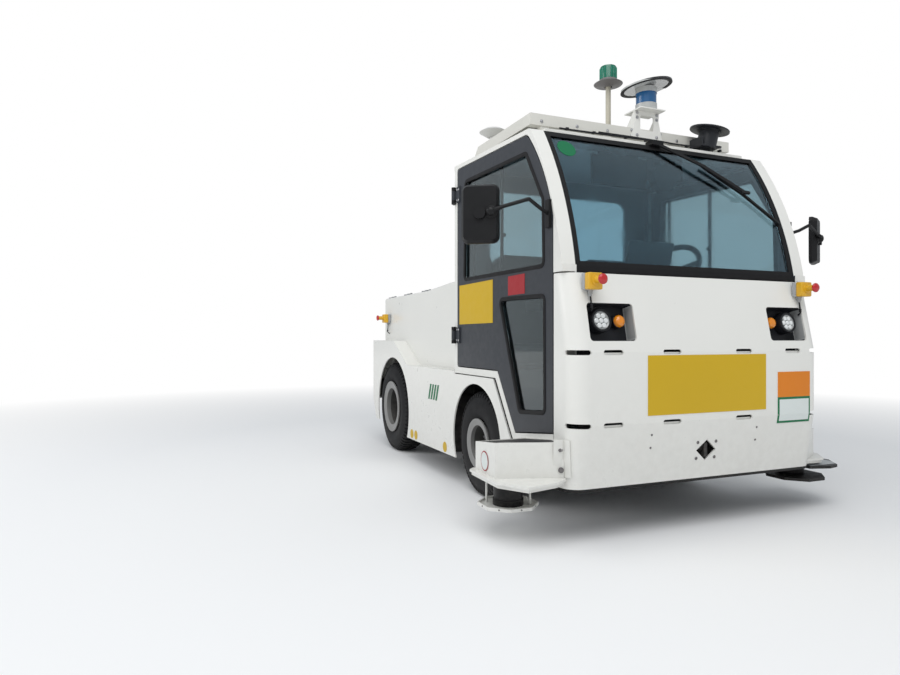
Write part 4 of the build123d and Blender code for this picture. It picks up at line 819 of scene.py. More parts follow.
# %% [markdown]
# Each tyre takes its place, width and radii from its packed node and its rim, which it fits without a gap. The
# two rows of blocks are half a step apart, as on real tread, and the left row is the right one turned round.

# %% The tyres
BLOCKS = {"front": 56, "rear": 64}
tyre_rubber = surface("tyre_rubber", (0.011, 0.011, 0.012), 0.72, drift=0.2, dust=0.4, grain=0.5,
                      grain_scale=300, shine=0.25, dust_colour=(0.10, 0.095, 0.09), dust_top=0.5)


def tyre(end, hand, side):
    """Makes a tyre and its tread, and returns the wheel's centre."""
    low, high = corners(f"{end}_{hand}_tyre")
    rim_low, rim_high = corners(f"{end}_{hand}_rim")
    radius, half, rim = (high[1] - low[1]) / 2, (high[0] - low[0]) / 2, (rim_high[1] - rim_low[1]) / 2
    centre = Vector(((low[0] + high[0]) / 2, (low[1] + high[1]) / 2, radius))
    name, body = f"tyre_{end}_{hand}", f"wheel_{end}_{hand}"
    Shape().turned(tyre_profile(radius, half, rim), centre, (side, 0, 0), 72) \
        .finish(name, tyre_rubber, body, "tyre", (f"{end}_{hand}_tyre",), 40)
    spots = []
    for row in (0, 1):
        for i in range(BLOCKS[end]):
            angle = 2 * math.pi * (i + 0.5 * row) / BLOCKS[end]
            out = Vector((0, math.sin(angle), math.cos(angle)))
            across = Vector((1 if row else -1, 0, 0))
            turn = frame_of(across.cross(out), across, out)
            spots.append((centre + out * (radius - TREAD_DEEP - 0.0005), turn, 1.0))
    tread = repeat(name + "_tread", template(tread_block(half), name + "_lug"), spots, tyre_rubber, body,
                   seed=1)
    tread.data.shade_flat()
    return centre


WHEELS = {(end, hand, side): tyre(end, hand, side) for end in ("front", "rear") for hand, side in SIDES}
for (end, hand, _), centre in WHEELS.items():
    print("tyre", end, hand, "radius", round(centre.z, 3))

# %% [markdown]
# Five nuts hold each rim on its hub. They sit deep in the barrel, where only their ends catch light, so a
# six-sided nut on a washer with the stud's tip is enough, turned by chance as spanners leave them.

# %% Wheel nuts
NUT_CIRCLE, NUT_SIZE = 0.078, 0.0105
DISH = {"front": -0.006, "rear": -0.011}
for (end, hand, side), centre in WHEELS.items():
    face = centre + Vector((side * DISH[end], 0, 0))
    spots = [(face + Vector((0, along, high)), (side, 0, 0), NUT_SIZE) for high, along in disc(NUT_CIRCLE, 5)]
    repeat(f"nuts_{end}_{hand}", nut_part, spots, bare_steel, f"wheel_{end}_{hand}", 0.5, 5)
print("nuts on", len(WHEELS), "wheels")

# %% [markdown]
# Notices on such a machine are printed foils, pressed on the paint. Their texts belong to whoever runs it, so
# here they are blank: plates about a millimetre thick, a hair off the sheet. A painted zone would do on flat
# metal, but has no edge, and two foils go over a fold of the front panel.

# %% Foils
FOIL, LIFT = 0.0012, 0.0003
FOILS = {"yellow": (0.62, 0.40, 0.012), "orange": (0.74, 0.22, 0.012), "red": (0.36, 0.022, 0.028),
         "green": (0.006, 0.16, 0.062), "white": (0.72, 0.77, 0.75), "grey": (0.34, 0.36, 0.38)}
foil = {name: surface("foil_" + name, colour, 0.45, dust=0.06, grain=0.1, shine=0.3)
        for name, colour in FOILS.items()}
print("foils:", list(foil))

# %% [markdown]
# The front panel is one sheet with two level folds. Between them it stands upright, and below the lower fold
# and above the upper one it runs back. Three sizes give the lower lean, which foils and screws there follow.

# %% The folded front
LOW_FOLD, HIGH_FOLD, PANEL_FOOT = 0.494, 0.794, 0.231
LOW_RUN, LOW_RISE = 0.040, LOW_FOLD - PANEL_FOOT
LOW_LEAN = math.atan2(LOW_RUN, LOW_RISE)


def low_front(z):
    """The station of the lower front section, which runs back below the fold."""
    return LOW_RUN * (LOW_FOLD - z) / LOW_RISE


def low_place(z, lift=LIFT):
    return front_place(low_front(z) - lift, z, LOW_LEAN)


print("lower front leans", round(math.degrees(LOW_LEAN), 1), "degrees")

# %% [markdown]
# A broad yellow sheet sits in the middle of the upright part. To its left are an orange foil and, under it, a
# white one on a green one, which shows as its border and is pressed over the lower fold.

# %% Foils on the front
upright = front_place(-LIFT, 0.0)
ORANGE_WIDE, WHITE_WIDE = (0.412, 0.621), (0.422, 0.611)
Shape().plate(rectangle(-0.337, 0.337, 0.525, 0.780), FOIL, upright) \
    .finish("sign_yellow", foil["yellow"], "body")
Shape().plate(rectangle(*ORANGE_WIDE, 0.577, 0.695), FOIL, upright) \
    .finish("sign_orange", foil["orange"], "body")
Shape().plate(rectangle(*WHITE_WIDE, 0.4948, 0.566), FOIL, front_place(-0.0016, 0.0)) \
    .plate(rectangle(*WHITE_WIDE, 0.0, 0.0305), FOIL, low_place(0.466, 0.0016)) \
    .finish("sign_white", foil["white"], "body")
Shape().plate(rectangle(*ORANGE_WIDE, 0.495, 0.577), FOIL, upright) \
    .plate(rectangle(*ORANGE_WIDE, 0.0, 0.038), FOIL, low_place(0.4555)) \
    .finish("sign_green_border", foil["green"], "body")
print("front foils: yellow, orange, white on green")

# %% [markdown]
# Each side has a yellow and a red foil on the door, four slanted green bars on the sheet, round marks where
# the jack goes, and two dots on the hood. The foils on a door ride on it, so that they swing with it.

# %% Foils on the sides
BAR_STEP, BAR_WIDE, BAR_SLANT = 0.0432, 0.024, 0.038
JACK_MARKS = ((2.011, 0.190), (1.927, 0.192), (1.397, 0.196))
for hand, side in SIDES:
    door, wall = "door_" + hand, wall_place(side, BODY_SIDE, LIFT)
    hood = wall_place(side, HOOD_SIDE, LIFT)
    Shape().plate(rectangle(0.741, 1.170, 0.930, 1.150), FOIL, wall) \
        .finish("door_sign_yellow_" + hand, foil["yellow"], door)
    Shape().plate(rectangle(0.408, 0.572, 1.058, 1.150), FOIL, wall) \
        .finish("door_sign_red_" + hand, foil["red"], door)
    bars = Shape()
    for i in range(4):
        foot = 1.686 - BAR_STEP * i
        bars.plate([(foot, 0.462), (foot - BAR_WIDE, 0.462), (foot - BAR_WIDE - BAR_SLANT, 0.560),
                    (foot - BAR_SLANT, 0.560)], FOIL, wall)
    bars.finish("green_bars_" + hand, foil["green"], "body")
    marks = Shape()
    for station, z in JACK_MARKS:
        marks.plate(disc(0.031, 24, station, z), FOIL, wall)
    marks.finish("jack_marks_" + hand, foil["yellow"], "body")
    for colour, radius, z in (("yellow", 0.026, 1.055), ("grey", 0.022, 1.125)):
        Shape().plate(disc(radius, 24, 1.300, z), FOIL, hood) \
            .finish(f"hood_dot_{colour}_{hand}", foil[colour], "body")
print("signs are blank and lie on the sheet")

# %% [markdown]
# Each lamp recess holds a round headlamp in a black bezel, outboard, and an amber indicator inboard, both
# square to the leaning panel. A headlamp is a bright dish with seven lenses. Clear glass over them would be
# truer, but over a dish this small it turns dark in a render, so the lenses are pale, glossy domes instead.

# %% Lamps in the front recesses
LEAN = math.atan2(0.070, 1.125 - HIGH_FOLD)
HEADLAMP_OUT, INDICATOR_OUT, BEAD_CIRCLE = 0.536, 0.438, 0.0235
lens_amber = surface("lens_amber", (0.78, 0.25, 0.008), 0.18, dust=0.0, coat=0.6, grain=0.0)
reflector = surface("lamp_reflector", (0.30, 0.31, 0.31), 0.3, 0.3, dust=0.0, grain=0.0, coat=0.5)
bead_clear = surface("lamp_bead", (0.78, 0.80, 0.80), 0.12, dust=0.0, grain=0.0, coat=1.0)
bezel_black = surface("bezel_black", (0.010, 0.010, 0.012), 0.35, dust=0.05, shine=0.3)
forward = Vector((0, -math.cos(LEAN), math.sin(LEAN)))
upward = Vector((0, math.sin(LEAN), math.cos(LEAN)))
recess_floor = Vector((0, at(0.0351), 0.920)) - forward * 0.0548 + upward * 0.010
for hand, side in SIDES:
    head = recess_floor + Vector((side * HEADLAMP_OUT, 0, 0)) + forward * 0.034
    blinker = recess_floor + Vector((side * INDICATOR_OUT, 0, 0)) + forward * 0.026
    Shape().turned([(0.0515, -0.03), (0.0515, 0.006), (0.048, 0.012), (0.040, 0.011), (0.0385, 0.004),
                    (0.0385, 0.0)], head, forward, 40) \
        .turned([(0.030, -0.02), (0.030, 0.002), (0.0285, 0.003), (0.027, 0.001)], blinker, forward, 32) \
        .finish("lamp_bezels_" + hand, bezel_black, "body", "black_plastic")
    Shape().turned([(0, 0.002), (0.026, 0.002), (0.034, 0.005), (0.0384, 0.0085)], head, forward, 32) \
        .finish("headlamp_reflector_" + hand, reflector, "body", "lamp")
    beads = Shape()
    for over, up in disc(BEAD_CIRCLE, 6) + [(0.0, 0.0)]:
        beads.turned([(0.0112, 0.003), (0.0108, 0.0085), (0.0085, 0.0105), (0, 0.0118)],
                     head + Vector((over, 0, 0)) + upward * up, forward, 16)
    beads.finish("headlamp_beads_" + hand, bead_clear, "body", "lamp")
    Shape().turned([(0.0268, -0.002), (0.0268, 0.004), (0.025, 0.006), (0.0265, 0.008), (0.022, 0.015),
                    (0.012, 0.020), (0, 0.021)], blinker, forward, 12) \
        .finish("indicator_" + hand, lens_amber, "body", sharp=12)
print("lamps on both sides, leaning", round(math.degrees(LEAN), 1), "degrees")

# %% [markdown]
# A stop button is a grey box with a yellow cover, a collar and a red mushroom head. It stands four times, on
# the front above the lamps and on the hood's sides near the rear, so it is one function. A gland points down
# from each box, and a short cable leaves it and goes back into the panel. Its route is listed.

# %% Stop buttons
stop_yellow = surface("stop_yellow", (0.72, 0.40, 0.015), 0.35, dust=0.05, coat=0.2)
stop_red = surface("stop_red", (0.50, 0.012, 0.016), 0.28, dust=0.03, coat=0.4)
stop_grey = surface("stop_grey", (0.36, 0.37, 0.38), 0.5, dust=0.1)
COVER_TOP, HEAD_RISE, LEAD_THICK = 0.058, 0.040, 0.0072
LEAD_ROUTE = ((0, -0.058, 0.016), (0.004, -0.085, 0.017), (0.010, -0.112, 0.016), (0.010, -0.122, 0.001))


def stop_button(name, place, replaces=()):
    """A button whose z stands out of the panel, whose x runs along it and whose y points up."""
    turn = place.to_3x3().to_4x4()
    out, down = turn @ Vector((0, 0, 1)), Vector((0, 0, -1))
    head = place @ Vector((0, 0.004, COVER_TOP))
    Shape().box(place @ Vector((0, 0, 0.012)), (0.067, 0.069, 0.022), 0.004, turn=turn) \
        .turned([(0.012, 0), (0.012, 0.006), (0.010, 0.007), (0.010, 0.018), (0.007, 0.020), (0.007, 0.028)],
                place @ Vector((0, -0.033, 0.016)), down, 16) \
        .finish("stop_base_" + name, stop_grey, "body", replaces=replaces)
    Shape().box(place @ Vector((0, 0, 0.041)), (0.067, 0.069, 0.035), 0.006, turn=turn) \
        .turned([(0.024, 0), (0.023, 0.004), (0.016, 0.006), (0.014, HEAD_RISE)], head, out, 28) \
        .finish("stop_cover_" + name, stop_yellow, "body", "stop_yellow")
    Shape().turned([(0.013, -0.001), (0.019, 0.000), (0.0215, 0.003), (0.0215, 0.008), (0.0175, 0.0125),
                    (0.010, 0.0150), (0, 0.0155)], head + out * HEAD_RISE, out, 32) \
        .finish("stop_head_" + name, stop_red, "body")
    Shape().bar([place @ Vector(point) for point in LEAD_ROUTE], LEAD_THICK / 2, 8, 0.01) \
        .turned([(0.0052, 0), (0.0060, 0.002), (0.0060, 0.014), (0.0052, 0.016)],
                place @ Vector((0.006, -0.092, 0.017)), down, 10) \
        .finish("stop_lead_" + name, bezel_black, "body", "black_plastic")


for hand, side in SIDES:
    stop_button("front_" + hand, front_place(0.0545, 1.086, 0.0, side * 0.599),
                ("stop_buttons",) if side < 0 else ())
    stop_button("rear_" + hand, wall_place(side, HOOD_SIDE, LIFT) @ Matrix.Translation((2.865, 1.011, 0)))
print("stop buttons: 4")

# %% [markdown]
# Rubber profiles hold the door windows. Behind them thin bars part the upper window into a fixed and a sliding
# pane, with a small catch, and a pull is screwed on inside. The profile is one section, swept round an outline
# that is given by its corners, so the same lines make the outer lip and the inner one.

# %% Door window rubbers and glazing bars
UPPER_WINDOW = [(1.105, 1.180), (0.239, 1.168), (0.246, 1.460), (0.397, 1.698), (1.090, 1.726)]
LOWER_WINDOW = [(0.668, 1.045), (0.234, 1.038), (0.231, 0.528), (0.462, 0.508)]
WINDOW_CORNER = 0.028
LIP = [(-0.009, 0.0), (-0.009, 0.0022), (-0.006, 0.0036), (0.006, 0.0036), (0.010, 0.0016), (0.010, 0.0)]
INNER_LIP = [(-0.006, -0.004), (-0.006, 0.004), (0.006, 0.004), (0.006, -0.004)]
GLAZING_BARS = ((0.687, 1.176, 1.708), (1.023, 1.182, 1.722))
CATCH = [(0.010, 0), (0.010, 0.012), (0.006, 0.014), (0, 0.014)]
for hand, side in SIDES:
    door = "door_" + hand
    rubbers = Shape()
    for window in (UPPER_WINDOW, LOWER_WINDOW):
        for out, section in ((0.7001, LIP), (0.6935, INNER_LIP)):
            around = [(side * out, at(station), z) for station, z in rounded(window, WINDOW_CORNER)]
            rubbers.swept(around, section, (side, 0, 0), closed=True)
    rubbers.finish("window_rubbers_" + hand, rubber, door, "rubber")
    glazing = Shape()
    for station, low, high in GLAZING_BARS:
        middle = (side * 0.672, at(station), (low + high) / 2)
        glazing.box(middle, (0.010, 0.020, high - low), 0.002, 2)
        glazing.turned(CATCH, (side * 0.667, at(station), 1.37), (-side, 0, 0), 16)
    glazing.finish("glazing_bars_" + hand, bezel_black, door, "black_plastic")
    Shape().box((side * 0.662, at(0.70), 1.120), (0.012, 0.30, 0.030), 0.005) \
        .box((side * 0.655, at(0.40), 1.000), (0.016, 0.14, 0.05), 0.006) \
        .finish("door_inner_pull_" + hand, bezel_black, door, "black_plastic")
print("door windows framed")

# %% [markdown]
# The two seats have foam cushions under a dark cover, sewn along a welt. Foam swells between its seams and
# thins to its corners. A cloth simulation gives that too, but would move with each version of the solver, and
# these pads show only through tinted glass, so each is a fine grid that is pushed by the same few rules.


# %% A cushion
SOFT_EDGE = 0.22
CHANNEL_DEEP, CHANNEL_WIDE = 0.006, 0.05
seat_cover = surface("seat_cover", (0.028, 0.028, 0.031), 0.62, drift=0.15, dust=0.0, grain=0.6,
                     grain_scale=500)
seat_seam = surface("seat_seam", (0.10, 0.10, 0.105), 0.6, dust=0.0)


def cushioned(u, w, t, half, crown, channels, taper):
    """Where a point of a block from -1 to 1 lies on the cushion: u across, w along and t through it."""
    side, end = max(abs(u) - 1 + SOFT_EDGE, 0) / SOFT_EDGE, max(abs(w) - 1 + SOFT_EDGE, 0) / SOFT_EDGE
    thick = 1 - 0.34 * min(math.hypot(side, end), 1.0) ** 2.2
    shrink = (1 - 0.06 * side * end) * (1 - 0.025 * (1 - t * t))
    swell = crown * (1 - u * u) * (1 - w * w)
    groove = sum(CHANNEL_DEEP * math.exp(-((w - place) / CHANNEL_WIDE) ** 2) for place in channels)
    groove *= 1 - max(abs(u) - 0.8, 0) * 5
    top = (swell - groove) * t if t > 0 else 0.0
    return u * half.x * shrink * (1 - taper * (w + 1) / 2), w * half.y * shrink, t * half.z * thick + top


def cushion(name, centre, size, lean, crown, channels, taper=0.0):
    """A crowned pad with its welt: x across, y along it and z through it, leaned about x."""
    place = Matrix.Translation(centre) @ Matrix.Rotation(lean, 4, "X")
    grid = bmesh.new()
    bmesh.ops.create_cube(grid, size=2.0)
    bmesh.ops.subdivide_edges(grid, edges=grid.edges[:], cuts=15, use_grid_fill=True)
    for v in grid.verts:
        v.co = cushioned(*v.co, Vector(size) / 2, crown, channels, taper)
    made = Shape().take(grid, place).finish(name, seat_cover, "body", "seat_cover", ("seats",), 70)
    rim = oblong(size[0] * 0.90 * (1 - taper / 2), size[1] * 0.92, 0.06)
    path = [place @ Vector((x * (1 - taper * (y / size[1])), y, size[2] * 0.36)) for x, y in rim]
    Shape().swept(path, disc(0.0035, 6), place.to_3x3() @ Vector((0, 0, 1)), closed=True) \
        .finish(name + "_welt", seat_seam, "body", "seat_cover")


print("a cushion's soft edge is", SOFT_EDGE, "of its half width")

# %% [markdown]
# Each seat is a base with two sewn channels and a back with three, which narrows towards its top. A black pan
# and a bracket carry them, because foam can't stand on nothing.

# %% Seats
for hand, side in SIDES:
    x = side * 0.29
    cushion("seat_base_" + hand, (x, at(0.915), 0.762), (0.47, 0.45, 0.086), 0.05, 0.012, (-0.1, 0.38))
    cushion("seat_back_" + hand, (x, at(1.122), 1.055), (0.44, 0.555, 0.090), math.radians(83), 0.010,
            (-0.3, 0.1, 0.5), 0.12)
    Shape().box((x, at(0.925), 0.706), (0.43, 0.42, 0.036), 0.008) \
        .box((x, at(1.110), 0.800), (0.30, 0.020, 0.150), 0.006) \
        .finish("seat_pan_" + hand, bezel_black, "body", "black_plastic")
print("seats: 2, each with a padded base and back")

# %% [markdown]
# The cab has seats, so a display on a stalk and a row of rocker switches sit on the dashboard. Through the
# screen only their outlines and the display's gloss show, so no more is made of them.

# %% Dashboard
panel_dark = surface("panel_dark", (0.035, 0.037, 0.040), 0.4, dust=0.0)
display_gloss = surface("display_glass", (0.012, 0.016, 0.022), 0.08, dust=0.0, coat=0.8, grain=0.0)
display_lean = Matrix.Rotation(0.25, 4, "X")
Shape().box((-0.10, at(0.285), 1.225), (0.26, 0.022, 0.175), 0.008, turn=display_lean) \
    .bar([(-0.10, at(0.292), 1.150), (-0.10, at(0.290), 1.110)], 0.014, 12) \
    .finish("driver_display", panel_dark, "body", "black_plastic")
Shape().box((-0.10, at(0.2975), 1.2215), (0.236, 0.003, 0.150), 0.001, turn=display_lean) \
    .finish("display_glass", display_gloss, "body", "black_plastic")
switch_part = template(Shape().box((0, 0, 0.004), (0.018, 0.026, 0.010), 0.002, 2), "switch")
spots = [((-0.45 + 0.034 * i, at(0.300), 1.110), (0, 0.62, 0.78), 1.0) for i in range(6)]
repeat("dash_switches", switch_part, spots, bezel_black, "body")
print("switches:", len(spots))

# %% [markdown]
# The spinning scanner's plate has a rubber lip along part of its rim. It is one flat piece, cut from two bows,
# the outer one forwards and the inner one back, and laid in the plate's own leaning frame.

# %% The lip of the scanner's plate
scanner_plate = Matrix.Translation((0.060, at(0.495), 2.146)) @ facing((-0.16, 0.04, 1))
lip_angles = range(160, 472, 6)
Shape().plate(bow(0.1304, lip_angles) + bow(0.1120, reversed(lip_angles)), 0.0022,
              scanner_plate @ Matrix.Translation((0, 0, -0.0022))) \
    .finish("scanner_disc_edge", rubber, "body", "rubber")
print("lip over", lip_angles[-1] - lip_angles[0], "degrees")

# %% [markdown]
# The beacon is a ribbed green dome on a grey saucer, on a mast that stands on the tray. All but the ribs is
# turned on a lathe. In a real dome the ribs bend the light. Here they stand out a little and are a lighter
# green, which does the same for the eye.

# %% The beacon
RIBS, RIB_CIRCLE, MAST_RISE = 28, 0.0452, 0.312
mast_paint = surface("mast_paint", (0.50, 0.47, 0.38), 0.45, dust=0.0)
saucer_grey = surface("saucer_grey", (0.16, 0.15, 0.15), 0.45, dust=0.0)
dome_green = surface("dome_green", (0.0, 0.13, 0.075), 0.2, dust=0.0, coat=0.4, grain=0.0)
dome_rib = surface("dome_rib", (0.005, 0.24, 0.15), 0.2, dust=0.0, coat=0.4, grain=0.0)
mast_foot = Vector((0, at(0.735), 1.929))
mast_top = mast_foot + Vector((0, 0, MAST_RISE))
Shape().turned([(0.034, 0), (0.034, 0.007), (0.030, 0.009), (0.014, 0.009), (0.014, MAST_RISE - 0.006)],
               mast_foot, UP, 28).finish("beacon_mast", mast_paint, "body", "beacon_green", ("beacon",))
Shape().turned([(0.020, -0.014), (0.030, -0.008), (0.074, -0.001), (0.078, 0.003), (0.074, 0.006),
                (0.060, 0.010), (0.050, 0.020), (0.047, 0.026), (0, 0.026)], mast_top, UP, 40) \
    .finish("beacon_saucer", saucer_grey, "body", "black_plastic")
Shape().turned([(0.0445, 0.024), (0.0450, 0.088), (0.0420, 0.096), (0.0340, 0.0985), (0, 0.0988)],
               mast_top, UP, 40).finish("beacon_dome", dome_green, "body", "beacon_green")
rib_part = template(Shape().box((0, 0, 0.032), (0.0036, 0.0026, 0.062), 0.0008, 1), "rib")
spots = [(mast_top + Vector((x, y, 0.025)), UP, 1.0, 2 * math.pi * i / RIBS)
         for i, (x, y) in enumerate(disc(RIB_CIRCLE, RIBS))]
repeat("beacon_ribs", rib_part, spots, dome_rib, "body")
print("beacon ribs:", len(spots))

# %% [markdown]
# Two leads lie along the header, between the roof's edge and the tray, and end under the tray. Their routes
# are chosen from where they show. Small clips hold them, so that nothing hangs in the air.

# %% Roof leads and clips
CLIPS_X = (-0.48, -0.33, -0.14, 0.03, 0.24, 0.46)
LONG_LEAD = [(-0.520, 0.402, 1.838), (-0.470, 0.398, 1.836), (-0.200, 0.398, 1.838), (-0.020, 0.398, 1.841),
             (0.020, 0.408, 1.846), (0.030, 0.470, 1.860)]
THIN_LEAD = [(-0.300, 0.400, 1.845), (-0.120, 0.404, 1.847), (0.060, 0.404, 1.846), (0.160, 0.398, 1.840),
             (0.300, 0.398, 1.842), (0.340, 0.420, 1.850)]
leads = Shape()
for route, thick in ((LONG_LEAD, 0.009), (THIN_LEAD, 0.008)):
    leads.bar([(x, at(station), z) for x, station, z in route], thick / 2, 8, 0.02)
leads.finish("roof_leads", bezel_black, "body", "black_plastic")
clip_part = template(Shape().box((0, 0, 0.004), (0.016, 0.018, 0.012), 0.003, 2), "clip")
spots = [((x, at(0.400), 1.8345), UP, 1.0) for x in CLIPS_X]
repeat("roof_clips", clip_part, spots, bezel_black, "body")
print("clips:", len(spots))

# %% [markdown]
# Bolts and screws are set where the photograph shows them: below the lower fold, round the tow eye, on the
# hinges and along the roof's brackets. The hidden side has the same as the seen one. They could be a bump, but
# a real head throws a small shadow, which is what the eye reads as a bolt.

# %% Bolts and screws
BELOW_FOLD = ((-0.310, 0.442), (-0.310, 0.386), (0.288, 0.444), (0.288, 0.385))
EYE_HIGH, EYE_WIDE, EYE_TALL = 0.357, 0.052, 0.036
low_out = (0, -math.cos(LOW_LEAN), -math.sin(LOW_LEAN))
spots = [((x, at(low_front(z) - LIFT), z), low_out, 0.0050) for x, z in BELOW_FOLD]
repeat("panel_bolts", screw_part, spots, saucer_grey, "body")
round_eye = [(x, z) for x in (-EYE_WIDE, EYE_WIDE) for z in (EYE_HIGH - EYE_TALL, EYE_HIGH + EYE_TALL)]
spots = [((x, at(low_front(z) - LIFT), z), low_out, 0.0075) for x, z in round_eye]
repeat("eye_screws", screw_part, spots, saucer_grey, "body")
for hand, side in SIDES:
    spots = [((side * 0.708, at(station), z + dz), (side, 0, 0), 0.0060)
             for z in (0.870, 1.670) for station in (1.168, 1.190) for dz in (-0.030, 0.030)]
    repeat("hinge_screws_" + hand, screw_part, spots, bare_steel, "door_" + hand)
AHEAD = (0, -1, 0)
spots = [((x, at(0.4945), z), AHEAD, 0.0065) for x in (-0.030, 0.150) for z in (1.888, 1.917)]
spots += [((x, at(0.4888), z), AHEAD, 0.0060) for x in (-0.002, 0.122) for z in (1.894, 1.985, 2.009)]
spots += [((x, at(0.4950), 1.894), AHEAD, 0.0060) for x in (-0.560, -0.360, -0.180, 0.260, 0.560)]
repeat("roof_bolts", bolt_part, spots, bare_steel, "body", 0.5, 7)
print("roof bolts:", len(spots))

# %% [markdown]
# The right sensor box is a folded case that is held to the cowl by a bent tab with two bolts. The tab is a
# flat strip swept round the cowl's corner. Eight small screws stand round the guard below the box, and a round
# blank label with a red rim sits on the box's outer side.

# %% Fittings of the sensor box
CORNER_X, TAB_HALF = 0.624, 0.078
tab_paint = surface("box_tab_paint", WHITE, 0.36, dust=0.2, coat=0.2)
route = [(-0.744, 0.0905), (-0.712, 0.0790)] + bow(0.0795, (192, 200, 208, 217), -CORNER_X, 0.0965)
Shape().swept([(x, at(station), 0.358) for x, station in route],
              rectangle(-0.0015, 0.0015, -TAB_HALF, TAB_HALF), (0, -0.151, 1)) \
    .finish("corner_box_tab", tab_paint, "body", "body_white")
tab_out = (-0.328, -0.945, 0)
spots = [((x, at(station), z), tab_out, 0.0080)
         for x, station, z in ((-0.7193, 0.0785, 0.3936), (-0.7148, 0.0769, 0.3114))]
repeat("corner_box_bolts", bolt_part, spots, saucer_grey, "body", 0.5, 4)
guard_middle = Vector((-0.8646, at(0.258), 0.147))
ways_out = [Vector((x, y, 0)) for x, y in disc(1.0, 8)]
spots = [(guard_middle + out * 0.1212, out, 0.0036) for out in ways_out]
repeat("guard_screws", screw_part, spots, saucer_grey, "body")
box_turn = Matrix.Rotation(math.radians(-3.8), 4, "Z") @ frame_of((0, 1, 0), (0, 0, 1), (-1, 0, 0))
label_place = Matrix.Translation((-0.9618, at(0.286), 0.330)) @ box_turn
Shape().plate(disc(0.0425), 0.0010, label_place).finish("round_label_rim", foil["red"], "body")
Shape().plate(disc(0.0375), 0.0014, label_place).finish("round_label", foil["white"], "body")
print("box bolts: 2, guard screws:", len(spots))

# %% [markdown]
# A dark rubber edge runs under the cowl and round its corners, and behind the relief slots the pale edge of an
# inner flange shows. Both are single sections, the rubber swept along the cowl's foot in one go.

# %% The cowl's rubber edge and the slots' flanges
CORNER_RADIUS, WALL_END = 0.076, (0.6995, 0.155)
corner_middle = low_front(PANEL_FOOT) + CORNER_RADIUS
right_half = bow(CORNER_RADIUS, range(270, 179, -15), -CORNER_X, corner_middle) + [(-WALL_END[0], WALL_END[1])]
along = [(-x, station) for x, station in reversed(right_half)] + right_half
Shape().swept([(0.996 * x, at(station + 0.0032), 0.2245) for x, station in along],
              rectangle(-0.003, 0.003, -0.006, 0.0062), UP) \
    .finish("cowl_edge_rubber", rubber, "body", "rubber")
flanges = Shape()
for z in (LOW_FOLD, HIGH_FOLD):
    for x in (-0.510, -0.205, 0.205, 0.510):
        flanges.box((x, at(0.0125), z - 0.0062), (0.100, 0.002, 0.0105), 0.0)
flanges.finish("slot_flanges", tab_paint, "body", "body_white")
print("cowl edge of", len(along), "points")

# %% [markdown]
# The screen is one bent pane that bulges forwards. A round sticker sits high on its outer face, and a dark
# sensor just behind it. Both need the pane's slope, which follows from the same curve as the pane: a straight
# lean with a parabola added. A small camera hangs behind the pane, below the header.

# %% Units at the screen
SCREEN_FOOT, SCREEN_HIGH, SCREEN_RUN, SCREEN_BULGE = 1.160, 0.640, 0.261, 0.037 * 1.080


def screen_station(z):
    t = (z - SCREEN_FOOT) / SCREEN_HIGH
    return 0.096 + SCREEN_RUN * t - 4 * SCREEN_BULGE * t * (1 - t)


def screen_spot(x, z, lift):
    """A frame on the screen's glass: its y climbs the glass and its z points out of it."""
    slope = (screen_station(z + 0.02) - screen_station(z - 0.02)) / 0.04
    out, climb = Vector((0, -1, slope)).normalized(), Vector((0, slope, 1)).normalized()
    return frame_of((1, 0, 0), climb, out, Vector((x, at(screen_station(z) + 0.0084), z)) + out * lift)


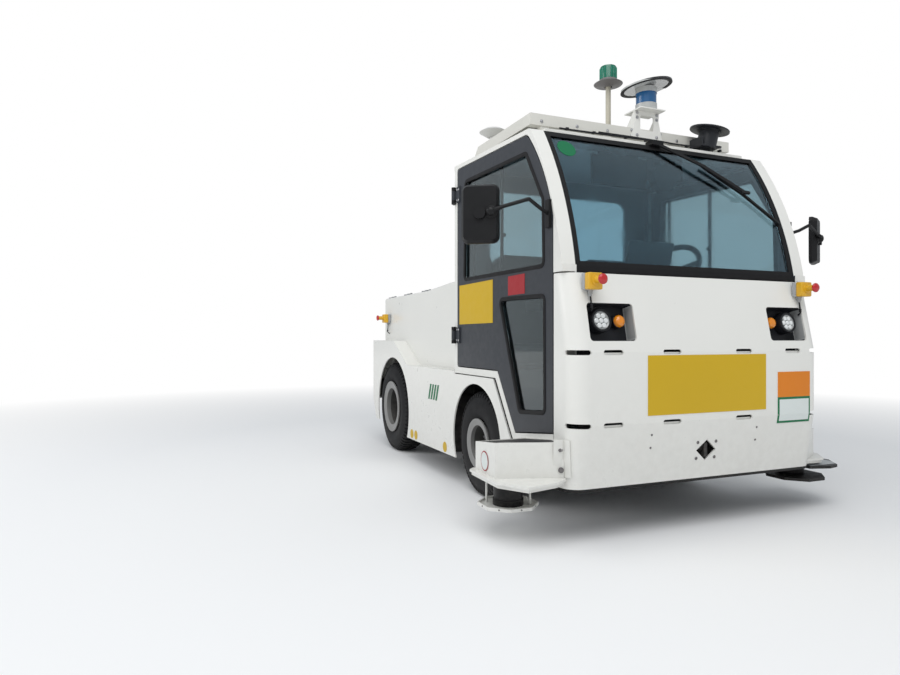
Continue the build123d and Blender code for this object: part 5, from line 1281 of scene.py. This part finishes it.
half_round = [180 + 180 * i / 14 for i in range(15)]
Shape().plate(disc(0.047, 28), 0.0008, screen_spot(-0.538, 1.716, 0.0004)) \
    .finish("screen_sticker", foil["green"], "body")
Shape().plate(bow(0.062, half_round), 0.003, screen_spot(-0.236, 1.772, -0.016)) \
    .finish("screen_sensor", unit_black, "body", "black_plastic")
Shape().box((0.186, at(0.458), 1.742), (0.120, 0.040, 0.160), 0.008) \
    .box((0.205, at(0.438), 1.690), (0.070, 0.030, 0.070), 0.010) \
    .turned([(0.020, 0), (0.020, 0.006), (0.016, 0.008), (0, 0.008)], (0.170, at(0.437), 1.745), AHEAD, 20) \
    .finish("header_camera", unit_black, "body", "black_plastic")
print("screen slopes back", round(screen_station(1.8) - screen_station(1.16), 3), "m")

# %% [markdown]
# A mirror hangs on its arm by a ball joint, so that it can be set. Its glass faces the driver. Both are turned
# or cut in the mirror's own frame, and the left one is the same call with the other side. They ride on the
# doors, as the mirrors do.

# %% Mirror joints and glass
MIRROR_TURN = math.radians(32)
BALL_JOINT = [(0.026, 0), (0.026, 0.006), (0.021, 0.010), (0.0205, 0.018), (0.016, 0.026), (0.008, 0.030),
              (0, 0.031)]
mirror_glass = surface("mirror_glass", (0.72, 0.74, 0.76), 0.04, 1.0, drift=0.02, dust=0.0, grain=0.0)
for hand, side in SIDES:
    across = Vector((-side * math.cos(MIRROR_TURN), -math.sin(MIRROR_TURN), 0))
    out = Vector((side * math.sin(MIRROR_TURN), -math.cos(MIRROR_TURN), 0))
    centre = Vector((side * 0.990, at(0.268), 1.376))
    ball = centre + across * 0.048 + out * 0.022 + Vector((0, 0, 0.004))
    stub = [ball + out * 0.018, ball + out * 0.018 + across * 0.030 + Vector((0, 0, 0.008)),
            Vector((side * 0.926, at(0.196), 1.398))]
    Shape().turned(BALL_JOINT, ball, out, 24).bar(stub, 0.0085, 10, 0.02) \
        .finish("mirror_joint_" + hand, black_plastic, "door_" + hand, "black_plastic")
    Shape().plate(oblong(0.146, 0.232, 0.026), 0.0012, frame_of(across, UP, -out, centre - out * 0.0143)) \
        .finish("mirror_glass_" + hand, mirror_glass, "door_" + hand)
print("mirrors:", len(SIDES))

# %% [markdown]
# The templates were only copied from, so they go.

# %% Done
for part in TEMPLATES:
    bpy.data.objects.remove(part)
